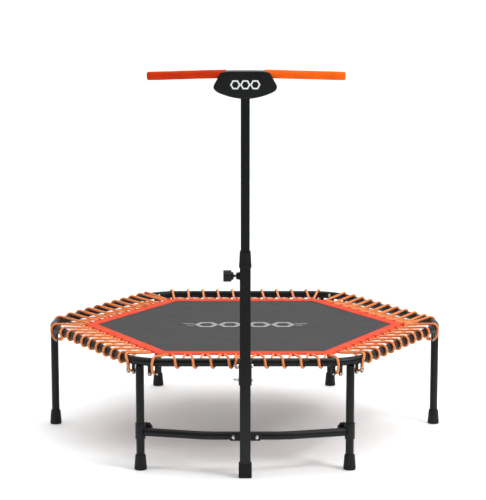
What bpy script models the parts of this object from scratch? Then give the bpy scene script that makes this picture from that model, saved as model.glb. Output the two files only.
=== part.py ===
"""Mini trampoline with a T-handle.

Hexagonal steel ring on six legs, a woven mat hung in it on six elastic ropes,
and a height-adjustable T-handle on a square upright at the front.
Units are metres, +Z up, the handle stands on the -Y side.
The origin lies on the floor under the middle of the whole object's box.
"""
import bpy
import bmesh
from math import pi, sin, cos, tan, asin, atan2, sqrt, radians
from mathutils import Vector, Matrix

# ------------------------------------------------------------------ driving dimensions
HEX_Y = 0.02843         # the hexagon's centre lies this far behind the origin
GAP = 0.0003            # gap kept between touching pieces

FRAME_Z = 0.332         # centre height of the ring tube
APOTHEM = 0.5648        # ring centreline, centre to flat
BEND_R = 0.160          # centreline bend radius at the corners
TUBE_R = 0.0125         # 25 mm round tube
TUBE_WALL = 0.0015
SIDES = 10              # facets round the 25 mm tubes
JOINT_S = 0.19          # where two ring segments meet, along each side
NECK = 0.035            # length of the necked end
LEG_R = 0.62745         # distance of each leg from the centre
FOOT_FLOOR = 0.005
EARS = [(-0.272, 0.272), (-0.284, 0.253), (-0.265, 0.270), (-0.272, 0.268), (-0.272, 0.262), (-0.253, 0.284)]   # rope anchors, along each side from its middle
EAR_Z = 0.291           # underside of the anchor ears

MAT_Z = 0.333           # middle plane of mat and border
MAT_FLAT = 0.4195       # visible edge of the mat, centre to flat
MAT_T = 0.0016
BORDER_T = 0.005
ROPE_N = 0.4625         # the ropes run through the border loops here
ROPE_R = 0.0036
WRAP_R = 0.0178         # rope centreline round the ring tube
LOOPS = 10
# each side: first loop, loop spacing, first turn round the tube, turn spacing, passes under the tube first, runs the other way
LACING = [(-0.218, 0.0531, -0.2055, 0.0531, False, 1), (-0.246, 0.0527, -0.1775, 0.0531, True, -1), (-0.243, 0.0530, -0.2110, 0.0530, False, 1),
          (-0.2325, 0.0536, -0.2200, 0.0536, False, 1), (-0.243, 0.0531, -0.2305, 0.0531, False, 1), (-0.246, 0.0527, -0.1775, 0.0531, True, 1)]

POLE_Y = -0.622         # upright axis, measured from the hexagon's centre
LOWER_W = 0.032
LOWER_WALL = 0.002
LOWER_TOP = 0.662
UPPER_W = 0.026
UPPER_WALL = 0.0015
UPPER_BOTTOM = 0.400
STEP = 0.083            # spacing of the five height settings
LOCK_Z = 0.602
BAR_Z = 1.187
BAR_R = 0.010
BAR_HALF = 0.276
BAR_DROP = 0.0068       # the ends of the handlebar sit this much lower
GRIP_R = 0.0122
GRIP_IN = 0.054
GRIP_OUT = {-1: 0.281, 1: 0.2865}
BRACE_Z = 0.116
BRACE_Y = -0.590        # brace centreline behind the upright
BOLT_X = 0.034          # brace bolts
BRACKET_Y = -0.5975     # bracket bolts

SIDE_NAMES = ["front", "front_right", "back_right", "back", "back_left", "front_left"]
CORNER_NAMES = ["front_right", "right", "back_right", "back_left", "left", "front_left"]
HALF = APOTHEM * tan(radians(30))
S0 = HALF - BEND_R * tan(radians(30))   # end of each side's straight part
C0 = Vector((0.0, HEX_Y, 0.0))

for old in list(bpy.data.objects):
    bpy.data.objects.remove(old, do_unlink=True)
COL = bpy.context.scene.collection


# ------------------------------------------------------------------ helpers
def material(name, rgb, rough, metal=0.0):
    m = bpy.data.materials.new(name)
    m.use_nodes = True
    b = m.node_tree.nodes["Principled BSDF"]
    b.inputs["Base Color"].default_value = (*rgb, 1.0)
    b.inputs["Roughness"].default_value = rough
    b.inputs["Metallic"].default_value = metal
    m.diffuse_color = (*rgb, 1.0)
    return m


def tidy(bm):
    bmesh.ops.remove_doubles(bm, verts=bm.verts, dist=1e-6)
    bmesh.ops.recalc_face_normals(bm, faces=bm.faces)
    if bm.calc_volume(signed=True) < 0:
        bmesh.ops.reverse_faces(bm, faces=bm.faces)


def to_object(name, bm, mat=None, smooth=True):
    tidy(bm)
    me = bpy.data.meshes.new(name)
    bm.to_mesh(me)
    bm.free()
    ob = bpy.data.objects.new(name, me)
    COL.objects.link(ob)
    if mat is not None:
        me.materials.append(mat)
    if smooth:
        me.shade_smooth()
        me.set_sharp_from_angle(angle=radians(40))
    return ob


def move(bm, matrix):
    bmesh.ops.transform(bm, matrix=matrix, verts=bm.verts)
    return bm


def boolean(ob, tools, op):
    """Cut or join other objects into ob with the exact solver, then remove them."""
    for t in tools:
        mod = ob.modifiers.new("b", "BOOLEAN")
        mod.operation = op
        mod.object = t
        mod.solver = "EXACT"
        deps = bpy.context.evaluated_depsgraph_get()
        me = bpy.data.meshes.new_from_object(ob.evaluated_get(deps))
        ob.modifiers.remove(mod)
        old = ob.data
        ob.data = me
        bpy.data.meshes.remove(old)
        bpy.data.objects.remove(t, do_unlink=True)
    return ob


def finish(ob, name, mat, flatten=True):
    """Weld stray points, flatten coplanar facets, name the mesh and set the material."""
    bm = bmesh.new()
    bm.from_mesh(ob.data)
    bmesh.ops.remove_doubles(bm, verts=bm.verts, dist=2e-6)
    bmesh.ops.dissolve_degenerate(bm, edges=bm.edges, dist=1e-6)
    if flatten:
        bmesh.ops.dissolve_limit(bm, angle_limit=radians(0.05), verts=bm.verts, edges=bm.edges)
    bmesh.ops.triangulate(bm, faces=[f for f in bm.faces if len(f.verts) > 4])
    tidy(bm)
    bm.to_mesh(ob.data)
    bm.free()
    ob.name = name
    ob.data.name = name
    ob.data.materials.clear()
    ob.data.materials.append(mat)
    ob.data.shade_smooth()
    ob.data.set_sharp_from_angle(angle=radians(40))
    return ob


def ring_points(c, u, v, r, n, turn=0.5):
    return [c + u * (r * cos(2 * pi * (i + turn) / n)) + v * (r * sin(2 * pi * (i + turn) / n)) for i in range(n)]


def skin(outer, inner=None):
    """Closed body through rings of points; with inner rings it is a tube with open ends."""
    bm = bmesh.new()

    def chain(rings):
        vs = [[bm.verts.new(p) for p in r] for r in rings]
        n = len(vs[0])
        for a, b in zip(vs, vs[1:]):
            for i in range(n):
                bm.faces.new((a[i], a[(i + 1) % n], b[(i + 1) % n], b[i]))
        return vs

    o = chain(outer)
    if inner is None:
        bm.faces.new(o[0])
        bm.faces.new(o[-1])
    else:
        q = chain(inner)
        for a, b in ((o[0], q[0]), (o[-1], q[-1])):
            n = len(a)
            for i in range(n):
                bm.faces.new((a[i], a[(i + 1) % n], b[(i + 1) % n], b[i]))
    return bm


def lathe(profile, n, loop=False, turn=0.5, star=0.0):
    """Turned body about +Z. profile is (radius, z) points; a closed loop makes a ring."""
    rings = []
    for r, z in profile:
        pts = []
        for i in range(n):
            a = 2 * pi * (i + turn) / n
            rr = r * (1 - star * (i % 2)) if r > 0.012 else r
            pts.append(Vector((rr * cos(a), rr * sin(a), z)))
        rings.append(pts)
    bm = bmesh.new()
    vs = [[bm.verts.new(p) for p in r] for r in rings]
    pairs = list(zip(vs, vs[1:])) + ([(vs[-1], vs[0])] if loop else [])
    for a, b in pairs:
        for i in range(n):
            bm.faces.new((a[i], a[(i + 1) % n], b[(i + 1) % n], b[i]))
    if not loop:
        bm.faces.new(vs[0])
        bm.faces.new(vs[-1])
    return bm


def box(x0, x1, y0, y1, z0, z1):
    bm = bmesh.new()
    bmesh.ops.create_cube(bm, size=1.0)
    move(bm, Matrix.Translation(((x0 + x1) / 2, (y0 + y1) / 2, (z0 + z1) / 2))
         @ Matrix.Diagonal((x1 - x0, y1 - y0, z1 - z0, 1)))
    return bm


def axis_frame(origin, z, x=None):
    z = Vector(z).normalized()
    x = Vector(x) if x is not None else (Vector((0, 0, 1)) if abs(z.z) < 0.9 else Vector((1, 0, 0)))
    x = (x - z * x.dot(z)).normalized()
    y = z.cross(x)
    m = Matrix((x, y, z)).transposed().to_4x4()
    m.translation = Vector(origin)
    return m


def rod(origin, z, r, z0, z1, n=8, x=None):
    return move(lathe([(r, z0), (r, z1)], n), axis_frame(origin, z, x))


def cutter(bm):
    ob = to_object("cutter", bm, smooth=False)
    ob.hide_render = True
    ob.display_type = "WIRE"
    return ob


def placed(ob, origin):
    """Put the object's origin at a point (a joint axis) without moving its shape."""
    ob.data.transform(Matrix.Translation(-Vector(origin)))
    ob.location = origin
    return ob


# ------------------------------------------------------------------ hexagon layout
def side_axes(k):
    a = radians(-90 + 60 * k)
    return Vector((cos(a), sin(a), 0)), Vector((-sin(a), cos(a), 0))


def on_tube(k, s):
    """Point of the ring's centreline on side k, s along it, and the outward normal there."""
    n, t = side_axes(k)
    if abs(s) <= S0:
        return C0 + n * APOTHEM + t * s + Vector((0, 0, FRAME_Z)), n
    sg = 1 if s > 0 else -1
    f = asin(min(1.0, (abs(s) - S0) / BEND_R))
    c = C0 + n * (APOTHEM - BEND_R * (1 - cos(f))) + t * s + Vector((0, 0, FRAME_Z))
    return c, n * cos(f) + t * (sg * sin(f))


def on_wrap(k, s, deg, r=WRAP_R):
    """Point round the ring tube: 0 deg is outward, 90 deg is on top."""
    c, n = on_tube(k, s)
    return c + n * (r * cos(radians(deg))) + Vector((0, 0, r * sin(radians(deg))))


def in_mat(k, s, n_dist, z=MAT_Z):
    n, t = side_axes(k)
    return C0 + n * n_dist + t * s + Vector((0, 0, z))


BLACK = (0.022, 0.022, 0.024)
UP = Vector((0, 0, 1))


def tube_path(k):
    """Centreline of ring segment k: the end of side k, the corner, then most of side k+1."""
    k2 = (k + 1) % 6
    n, t = side_axes(k)
    pts = [(*on_tube(k, JOINT_S + GAP), t)]
    steps = 6
    centre = C0 + n * (APOTHEM - BEND_R) + t * S0 + Vector((0, 0, FRAME_Z))
    for i in range(steps + 1):
        f = radians(60) * i / steps
        d = n * cos(f) + t * sin(f)
        pts.append((centre + d * BEND_R, d, None))
    pts.append((*on_tube(k2, JOINT_S), None))
    return pts, k2


def frame_segment(k):
    pts, k2 = tube_path(k)
    n2, t2 = side_axes(k2)
    outer = [ring_points(c, n, UP, TUBE_R, SIDES) for c, n, _ in pts]
    neck_r = TUBE_R - TUBE_WALL - GAP
    end = pts[-1][0]
    outer.append(ring_points(end, n2, UP, neck_r, SIDES))
    outer.append(ring_points(end + t2 * NECK, n2, UP, neck_r, SIDES))
    ob = to_object("seg", skin(outer))
    # stub for the leg, under the corner
    cd = radians(-60 + 60 * k)
    radial = Vector((cos(cd), sin(cd), 0))
    foot = C0 + radial * LEG_R
    stub = cutter(rod(foot, UP, neck_r, 0.262, FRAME_Z, SIDES, radial))
    parts = [stub]
    for kk, s in ((k, EARS[k][1]), (k2, EARS[k2][0])):
        c, n = on_tube(kk, s)
        t = UP.cross(n)
        m = Matrix((n, t, UP)).transposed().to_4x4()
        m.translation = C0 * 0 + Vector((c.x, c.y, 0))
        for d in (-1, 1):
            e = box(0.0006, 0.0036, d * 0.0112 - 0.006, d * 0.0112 + 0.006, EAR_Z, 0.3255)
            parts.append(cutter(move(e, m)))
            head = rod(m @ Vector((0.0030, d * 0.0112, 0.2970)), n, 0.0032, 0.0, 0.0022, 6)
            parts.append(cutter(head))
    boolean(ob, parts, "UNION")
    # bore, narrower in the neck, open at both ends
    bore_r = TUBE_R - TUBE_WALL
    inner = [ring_points(pts[0][0] - side_axes(k)[1] * 0.01, pts[0][1], UP, bore_r, SIDES)]
    inner += [ring_points(c, n, UP, bore_r, SIDES) for c, n, _ in pts[:-1]]
    c8 = pts[-1][0]
    inner.append(ring_points(c8 - t2 * 0.012, n2, UP, bore_r, SIDES))
    inner.append(ring_points(c8 - t2 * 0.002, n2, UP, neck_r - 0.0015, SIDES))
    inner.append(ring_points(c8 + t2 * (NECK + 0.01), n2, UP, neck_r - 0.0015, SIDES))
    cuts = [cutter(skin(inner)), cutter(rod(foot, UP, neck_r - 0.0015, 0.25, 0.3165, SIDES, radial))]
    boolean(ob, cuts, "DIFFERENCE")
    return finish(ob, "frame_segment_" + CORNER_NAMES[k], material("frame_steel_" + str(k), BLACK, 0.38))


def leg(k):
    cd = radians(-60 + 60 * k)
    radial = Vector((cos(cd), sin(cd), 0))
    foot = C0 + radial * LEG_R
    m = axis_frame(foot, UP, radial)
    r = TUBE_R
    tube = lathe([(r, FOOT_FLOOR + GAP), (r, 0.3192), (r - TUBE_WALL, 0.3192), (r - TUBE_WALL, FOOT_FLOOR + GAP)], SIDES, loop=True)
    ob = to_object("leg_" + CORNER_NAMES[k], move(tube, m), material("leg_steel_" + str(k), BLACK, 0.38))
    b = TUBE_R + GAP
    prof = [(0.0182, 0.0), (0.0190, 0.0022), (0.0181, 0.018), (0.0167, 0.036), (0.0153, 0.0462), (b, 0.0462), (b, FOOT_FLOOR)]
    rubber = to_object("foot_" + CORNER_NAMES[k], move(lathe(prof, SIDES), m), material("foot_rubber_" + str(k), (0.018, 0.018, 0.018), 0.7))
    return ob, rubber


# ------------------------------------------------------------------ ropes
def loop_s(k, i):
    return LACING[k][0] + LACING[k][1] * i


def wrap_s(k, i):
    """Where the strand after loop i turns round the outside of the tube."""
    if k == 0 and i == 4:
        return -0.0290          # moved aside to clear the upright's bracket
    return LACING[k][2] + LACING[k][3] * i


def anchor(k, s):
    """From the tube inward between the two ears to the knot."""
    c, n = on_tube(k, s)
    p = lambda d, z: Vector((c.x, c.y, 0)) + n * d + Vector((0, 0, z))
    return [p(0.0158, 0.3145), p(0.0085, 0.3035), p(0.0015, 0.2985), p(-0.0075, 0.2975),
            p(-0.0105, 0.2975), p(-0.0170, 0.2972), p(-0.0200, 0.2970)]


KNOT = [1.0, 1.0, 1.0, 1.0, 1.75, 1.75, 1.1]


def rope_path(k):
    pts, rad = [], []
    under, way = LACING[k][4:]
    first, last = sorted(way * e for e in EARS[k])

    def add(p, r=1.0):
        pts.append(p)
        rad.append(r)

    def turn(s, deg):
        add(on_wrap(k, way * s, deg))

    def edge(s, n):
        add(in_mat(k, way * s, n))

    for p, r in zip(reversed(anchor(k, way * first)), reversed(KNOT)):
        add(p, r)
    for deg in (-12, 22.5, 67.5, 112.5):
        turn(first + (0.004 if deg > 60 else 0.001), deg)
    enter = -0.2460 if k == 0 else loop_s(k, 0) - 0.0170
    edge(enter, ROPE_N + 0.004)
    edge(enter + 0.0040, ROPE_N)
    for i in range(LOOPS):
        s, w = loop_s(k, i), wrap_s(k, i)
        root = s - 0.0055 if k == 0 and i == 4 else s
        edge(root - (0.003 if root != s else 0.004), ROPE_N)
        edge(root, ROPE_N + 0.004)
        if i == LOOPS - 1:
            for deg, f in ((112.5, 0.60), (67.5, 0.78), (22.5, 0.9), (-12, 1.0)):
                turn(root + (last - root) * f, deg)
            for p, r in zip(anchor(k, way * last), KNOT):
                add(p, r)
            break
        if under:
            for deg, d in ((-112.5, -0.010), (-67.5, -0.004), (-22.5, 0.0), (22.5, 0.0), (67.5, -0.003), (112.5, -0.007)):
                turn(w + d, deg)
        else:
            for deg, f in ((112.5, 0.60), (67.5, 0.78), (22.5, 0.9)):
                turn(root + (w - root) * f, deg)
            for deg, d in ((-22.5, 0.0), (-67.5, 0.003), (-112.5, 0.007)):
                turn(w + d, deg)
        back = loop_s(k, i + 1) - (0.0225 if (k == 0 and i + 1 == 4) else 0.0170)
        edge(back, ROPE_N + 0.004)
        edge(back + 0.0040, ROPE_N)
    return pts, rad


def rope(k):
    pts, rad = rope_path(k)
    cu = bpy.data.curves.new("rope_" + SIDE_NAMES[k], "CURVE")
    cu.dimensions = "3D"
    cu.twist_mode = "MINIMUM"
    sp = cu.splines.new("POLY")
    sp.points.add(len(pts) - 1)
    for q, p, r in zip(sp.points, pts, rad):
        q.co = (*p, 1.0)
        q.radius = r
    cu.bevel_depth = ROPE_R
    cu.bevel_resolution = 0
    cu.use_fill_caps = True
    cu.materials.append(material("rope_cord_" + str(k), (0.80, 0.27, 0.09), 0.6))
    ob = bpy.data.objects.new("rope_" + SIDE_NAMES[k], cu)
    COL.objects.link(ob)
    return ob


# ------------------------------------------------------------------ mat and border
def hex_slab(flat, z0, z1):
    bm = bmesh.new()
    r = flat / cos(radians(30))
    lo = [bm.verts.new(C0 + Vector((r * cos(radians(60 * i)), r * sin(radians(60 * i)), z0))) for i in range(6)]
    hi = [bm.verts.new(C0 + Vector((r * cos(radians(60 * i)), r * sin(radians(60 * i)), z1))) for i in range(6)]
    bm.faces.new(lo)
    bm.faces.new(hi)
    for i in range(6):
        bm.faces.new((lo[i], lo[(i + 1) % 6], hi[(i + 1) % 6], hi[i]))
    return bm


def border():
    """Folded webbing: two plies grip the mat's edge, with a loop for every rope turn."""
    lip = ROPE_N - 0.0060
    edge = MAT_FLAT + 0.0145
    zt, zm = BORDER_T / 2, MAT_T / 2 + GAP
    section = [(MAT_FLAT, -zt), (lip, -zt), (lip, zt), (MAT_FLAT, zt), (MAT_FLAT, zm), (edge, zm), (edge, -zm), (MAT_FLAT, -zm)]
    bm = bmesh.new()
    cols = []
    for k in range(6):
        a = radians(60 * k)
        d = Vector((cos(a), sin(a), 0)) / cos(radians(30))
        cols.append([bm.verts.new(C0 + d * n + Vector((0, 0, MAT_Z + z))) for n, z in section])
    for k in range(6):
        p, q = cols[k], cols[(k + 1) % 6]
        for i in range(len(section)):
            j = (i + 1) % len(section)
            bm.faces.new((p[i], p[j], q[j], q[i]))
    ob = to_object("border", bm)
    loops = bmesh.new()
    h = ROPE_R + GAP
    for k in range(6):
        for i in range(LOOPS):
            shift = 0.0055 if (k == 0 and i == 4) else 0.0
            way = LACING[k][5]
            lo, hi = sorted((way * (loop_s(k, i) - 0.0120 - shift), way * (loop_s(k, i) - 0.0050 - shift)))
            rings = []
            for n0, n1, z in ((lip - 0.0008, ROPE_N + 0.0060, 0.0060), (ROPE_N - h, ROPE_N + h, h)):
                rings.append([[in_mat(k, s, n, MAT_Z + zz) for n, zz in ((n0, -z), (n1, -z), (n1, z), (n0, z))] for s in (lo, hi)])
            one = skin(*rings)
            me = bpy.data.meshes.new("loop")
            one.to_mesh(me)
            one.free()
            loops.from_mesh(me)
            bpy.data.meshes.remove(me)
    bmesh.ops.recalc_face_normals(loops, faces=loops.faces)
    boolean(ob, [cutter(loops)], "UNION")
    return finish(ob, "mat_border", material("border_webbing", (0.83, 0.13, 0.05), 0.75), flatten=False)


# ------------------------------------------------------------------ upright
def square_tube(w, wall, z0, z1):
    a, b = w / 2, w / 2 - wall
    o = [[Vector((sx * a, POLE_Y + HEX_Y + sy * a, z)) for sx, sy in ((-1, -1), (1, -1), (1, 1), (-1, 1))] for z in (z0, z1)]
    i = [[Vector((sx * b, POLE_Y + HEX_Y + sy * b, z)) for sx, sy in ((-1, -1), (1, -1), (1, 1), (-1, 1))] for z in (z0, z1)]
    return skin(o, i)


PY = POLE_Y + HEX_Y
LOCK = Vector((0, PY, LOCK_Z))
LX = Vector((-1, 0, 0))


def upright():
    steel = lambda n: material(n, BLACK, 0.36)
    lower = to_object("lower", square_tube(LOWER_W, LOWER_WALL, 0.0045, LOWER_TOP))
    h = LOWER_W / 2
    rear = PY + h
    add = [cutter(rod(LOCK, LX, 0.0105, h - 0.0008, 0.0262, 12)),
           cutter(box(-0.0455, 0.0455, rear - 0.0008, rear + 0.0030, BRACE_Z - 0.0118, BRACE_Z + 0.0118))]
    for sx in (-1, 1):
        x0, x1 = sorted((sx * (h - 0.0008), sx * (h + 0.0030)))
        add.append(cutter(box(x0, x1, PY - 0.006, BRACKET_Y + HEX_Y + 0.0075, 0.277, 0.345)))
    boolean(lower, add, "UNION")
    cut = [cutter(rod(LOCK, LX, 0.0063, h + 0.0004, 0.03, 12)),
           cutter(rod(LOCK, LX, 0.0040, 0.012, 0.02, 12))]
    for sx in (-1, 1):
        cut.append(cutter(rod((sx * BOLT_X, PY, BRACE_Z - 0.001), (0, 1, 0), 0.0034, h - 0.006, h + 0.008, 8)))
    for z in (0.3285, 0.2880):
        cut.append(cutter(rod((0, BRACKET_Y + HEX_Y, z), (1, 0, 0), 0.0034, -0.03, 0.03, 8)))
    boolean(lower, cut, "DIFFERENCE")
    finish(lower, "lower_pole", steel("lower_pole_steel"))

    c = 0.0195
    o = [[Vector((sx * a, PY + sy * a, z)) for sx, sy in ((-1, -1), (1, -1), (1, 1), (-1, 1))]
         for a, z in ((c - 0.0008, 0.0), (c, 0.0012), (c, 0.0398), (c - 0.0008, 0.041))]
    b = h + GAP
    i = [[Vector((sx * b, PY + sy * b, z)) for sx, sy in ((-1, -1), (1, -1), (1, 1), (-1, 1))] for z in (0.041, 0.0042)]
    to_object("pole_foot", skin(o + i), material("pole_foot_rubber", (0.015, 0.015, 0.015), 0.6), smooth=False)

    prof = [(0.0182, 0.628), (0.0182, 0.636), (0.0160, 0.672), (0.0156, 0.675)]
    o = [[Vector((sx * a, PY + sy * a, z)) for sx, sy in ((-1, -1), (1, -1), (1, 1), (-1, 1))] for a, z in prof]
    d = UPPER_W / 2 + GAP
    i = [[Vector((sx * a, PY + sy * a, z)) for sx, sy in ((-1, -1), (1, -1), (1, 1), (-1, 1))]
         for a, z in ((b, 0.628), (b, LOWER_TOP + GAP), (d, LOWER_TOP + GAP), (d, 0.675))]
    to_object("pole_collar", skin(o, i), material("collar_plastic", (0.03, 0.03, 0.032), 0.45), smooth=False)

    upper = to_object("upper", square_tube(UPPER_W, UPPER_WALL, UPPER_BOTTOM, BAR_Z - BAR_R - GAP))
    holes = [cutter(rod((0, PY, LOCK_Z + STEP * j), LX, 0.0031, 0.008, 0.02, 8)) for j in (-2, -1, 0, 1, 2)]
    boolean(upper, holes, "DIFFERENCE")
    placed(finish(upper, "upper_pole", steel("upper_pole_steel")), (0, PY, LOCK_Z))

    # lock: threaded bush in the boss, sprung pin through it, fluted knob on the pin
    bush = lathe([(0.0060, h + 0.0008), (0.0060, 0.0262), (0.0045, 0.0262), (0.0045, 0.0450), (0.0028, 0.0450),
                  (0.0028, 0.0300), (0.0040, 0.0300), (0.0040, h + 0.0008)], 10, loop=True)
    placed(to_object("lock_bush", move(bush, axis_frame(LOCK, LX)), material("bush_steel", (0.42, 0.42, 0.43), 0.3, 1.0)), LOCK)
    pin = lathe([(0.0024, 0.0135), (0.0024, 0.0174), (0.0035, 0.0174), (0.0035, 0.0190), (0.0024, 0.0190), (0.0024, 0.0600)], 10)
    placed(to_object("lock_pin", move(pin, axis_frame(LOCK, LX)), material("pin_steel", (0.6, 0.6, 0.61), 0.25, 1.0)), LOCK)
    cu = bpy.data.curves.new("lock_spring", "CURVE")
    cu.dimensions = "3D"
    turns, per = 5, 8
    sp = cu.splines.new("POLY")
    sp.points.add(turns * per)
    for j, q in enumerate(sp.points):
        a = 2 * pi * j / per
        x = 0.0196 + (0.0294 - 0.0196) * j / (turns * per)
        q.co = (-x, PY + 0.0032 * cos(a), LOCK_Z + 0.0032 * sin(a), 1.0)
    cu.bevel_depth = 0.0003
    cu.bevel_resolution = 0
    cu.use_fill_caps = True
    cu.materials.append(material("spring_steel", (0.5, 0.5, 0.52), 0.3, 1.0))
    COL.objects.link(bpy.data.objects.new("lock_spring", cu))
    knob = lathe([(0.0115, 0.0340), (0.0115, 0.0392), (0.0160, 0.0407), (0.0170, 0.0425), (0.0170, 0.0620), (0.0158, 0.0639),
                  (0.0027, 0.0639), (0.0027, 0.0465), (0.0049, 0.0465), (0.0049, 0.0340)], 20, loop=True, star=0.07)
    placed(to_object("lock_knob", move(knob, axis_frame(LOCK, LX)), material("knob_plastic", (0.02, 0.02, 0.02), 0.5)), LOCK)


def bracket():
    """Channel welded to the front tube; the upright's cheeks bolt to it."""
    y1 = -APOTHEM - TUBE_R - GAP + HEX_Y
    y0 = PY + LOWER_W / 2 + GAP
    x = LOWER_W / 2 - 0.0008 - GAP
    ob = to_object("lug", box(-x, x, y0, y1, 0.279, 0.344))
    cut = [cutter(box(-x + 0.003, x - 0.003, y0 - 0.01, y1 - 0.003, 0.27, 0.35))]
    for z in (0.3285, 0.2880):
        cut.append(cutter(rod((0, BRACKET_Y + HEX_Y, z), (1, 0, 0), 0.0034, -0.03, 0.03, 8)))
    boolean(ob, cut, "DIFFERENCE")
    finish(ob, "pole_bracket", material("bracket_steel", BLACK, 0.38))
    zinc = lambda n: material(n, (0.66, 0.66, 0.64), 0.28, 1.0)
    for name, z in (("upper", 0.3285), ("lower", 0.2880)):
        m = axis_frame((0, BRACKET_Y + HEX_Y, z), (1, 0, 0))
        o = LOWER_W / 2 + 0.003 + GAP
        b = lathe([(0.0030, -0.0345), (0.0030, o), (0.0058, o), (0.0058, o + 0.0040), (0.0050, o + 0.0045)], 6, turn=0.0)
        to_object("bracket_bolt_" + name, move(b, m), zinc("bracket_bolt_zinc_" + name), smooth=False)
        q = lathe([(0.0058, -o - 0.0052), (0.0058, -o), (0.0033, -o), (0.0033, -o - 0.0052)], 6, loop=True, turn=0.0)
        to_object("bracket_nut_" + name, move(q, m), zinc("bracket_nut_zinc_" + name), smooth=False)


def handle():
    half = BAR_HALF
    rise = atan2(BAR_DROP, half - 0.03)
    c = Vector((0, PY, BAR_Z))

    def line(x):
        ax = abs(x)
        return c + Vector((x, 0, -max(0.0, ax - 0.03) * tan(rise)))

    fwd = Vector((0, 1, 0))
    xs = [-half, -0.03, 0.03, half]
    o = [ring_points(line(x), fwd, UP, BAR_R, SIDES) for x in xs]
    i = [ring_points(line(x), fwd, UP, BAR_R - 0.0015, SIDES) for x in xs]
    placed(to_object("handle_bar", skin(o, i), material("bar_steel", (0.05, 0.05, 0.052), 0.3)), c)
    for side, sg, rgb in (("left", -1, (0.75, 0.13, 0.02)), ("right", 1, (0.9, 0.2, 0.03))):
        a0, d = line(sg * GRIP_IN), (line(sg * GRIP_OUT[sg]) - line(sg * GRIP_IN))
        length = d.length
        hole = BAR_R + GAP
        end = (line(sg * half) - a0).length + GAP
        prof = [(GRIP_R - 0.0008, 0.0), (GRIP_R, 0.0008), (GRIP_R, length - 0.006), (0.0096, length - 0.0015), (0.0050, length),
                (hole * 0.6, end), (hole, end), (hole, 0.0)]
        prof = [(hole, 0.0), (GRIP_R - 0.0008, 0.0), (GRIP_R, 0.0008), (GRIP_R, length - 0.005), (0.0096, length - 0.0012), (0.0050, length)]
        bm = lathe(prof, SIDES)
        # the closed bottom of the bore
        bm.faces.ensure_lookup_table()
        first = [f for f in bm.faces if len(f.verts) == SIDES and abs(f.calc_center_median().z) < 1e-6]
        ret = bmesh.ops.extrude_face_region(bm, geom=first)
        vs = [g for g in ret["geom"] if isinstance(g, bmesh.types.BMVert)]
        bmesh.ops.translate(bm, verts=vs, vec=(0, 0, end))
        for f in first:
            if f.is_valid:
                bm.faces.remove(f)
        move(bm, axis_frame(a0, d, fwd))
        placed(to_object("handle_grip_" + side, bm, material("grip_foam_" + side, rgb, 0.8)), c)

    # joint cover: two half shells round the T joint
    half_outline = [(0.0, 1.1150), (0.020, 1.1163), (0.043, 1.1208), (0.065, 1.1278), (0.080, 1.1342), (0.088, 1.1405),
                    (0.0915, 1.1485), (0.0893, 1.1560), (0.0845, 1.1632), (0.0765, 1.1785), (0.0715, 1.1880), (0.0660, 1.1915), (0.0480, 1.1940)]
    outline = half_outline + [(-x, z) for x, z in reversed(half_outline[1:])]

    def inset(poly, d):
        out = []
        n = len(poly)
        for j in range(n):
            p0, p1, p2 = Vector(poly[j - 1]), Vector(poly[j]), Vector(poly[(j + 1) % n])
            e1, e2 = (p1 - p0).normalized(), (p2 - p1).normalized()
            n1, n2 = Vector((-e1.y, e1.x)), Vector((-e2.y, e2.x))
            b = (n1 + n2).normalized()
            out.append(p1 + b * (d / max(0.5, b.dot(n1))))
        return out

    def prism(poly, y0, y1):
        bm = bmesh.new()
        lo = [bm.verts.new((p[0], y0, p[1])) for p in poly]
        hi = [bm.verts.new((p[0], y1, p[1])) for p in poly]
        bm.faces.new(lo)
        bm.faces.new(hi)
        n = len(poly)
        for j in range(n):
            bm.faces.new((lo[j], lo[(j + 1) % n], hi[(j + 1) % n], hi[j]))
        return bm

    inner = inset(outline, 0.0024)
    for name, sg in (("front", -1), ("rear", 1)):
        y_face, y_mid, y_in = PY + sg * 0.0172, PY + sg * GAP, PY + sg * 0.0146
        ob = to_object("cover", prism(outline, *sorted((y_face, y_mid))))
        cuts = [cutter(prism(inner, *sorted((y_in, y_mid - sg * 0.004)))),
                cutter(box(-0.0140, 0.0140, PY - 0.0140, PY + 0.0140, 1.10, 1.15)),
                cutter(box(-0.0475, 0.0475, PY - 0.0130, PY + 0.0130, 1.180, 1.21))]
        for s2 in (-1, 1):
            a0 = line(s2 * 0.045)
            cuts.append(cutter(rod(a0, line(s2 * 0.2) - a0, GRIP_R + 0.0004, 0.0, 0.06, SIDES, fwd)))
        boolean(ob, cuts, "DIFFERENCE")
        placed(finish(ob, "handle_cover_" + name, material("cover_plastic_" + name, (0.02, 0.02, 0.02), 0.42)), c)


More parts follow.
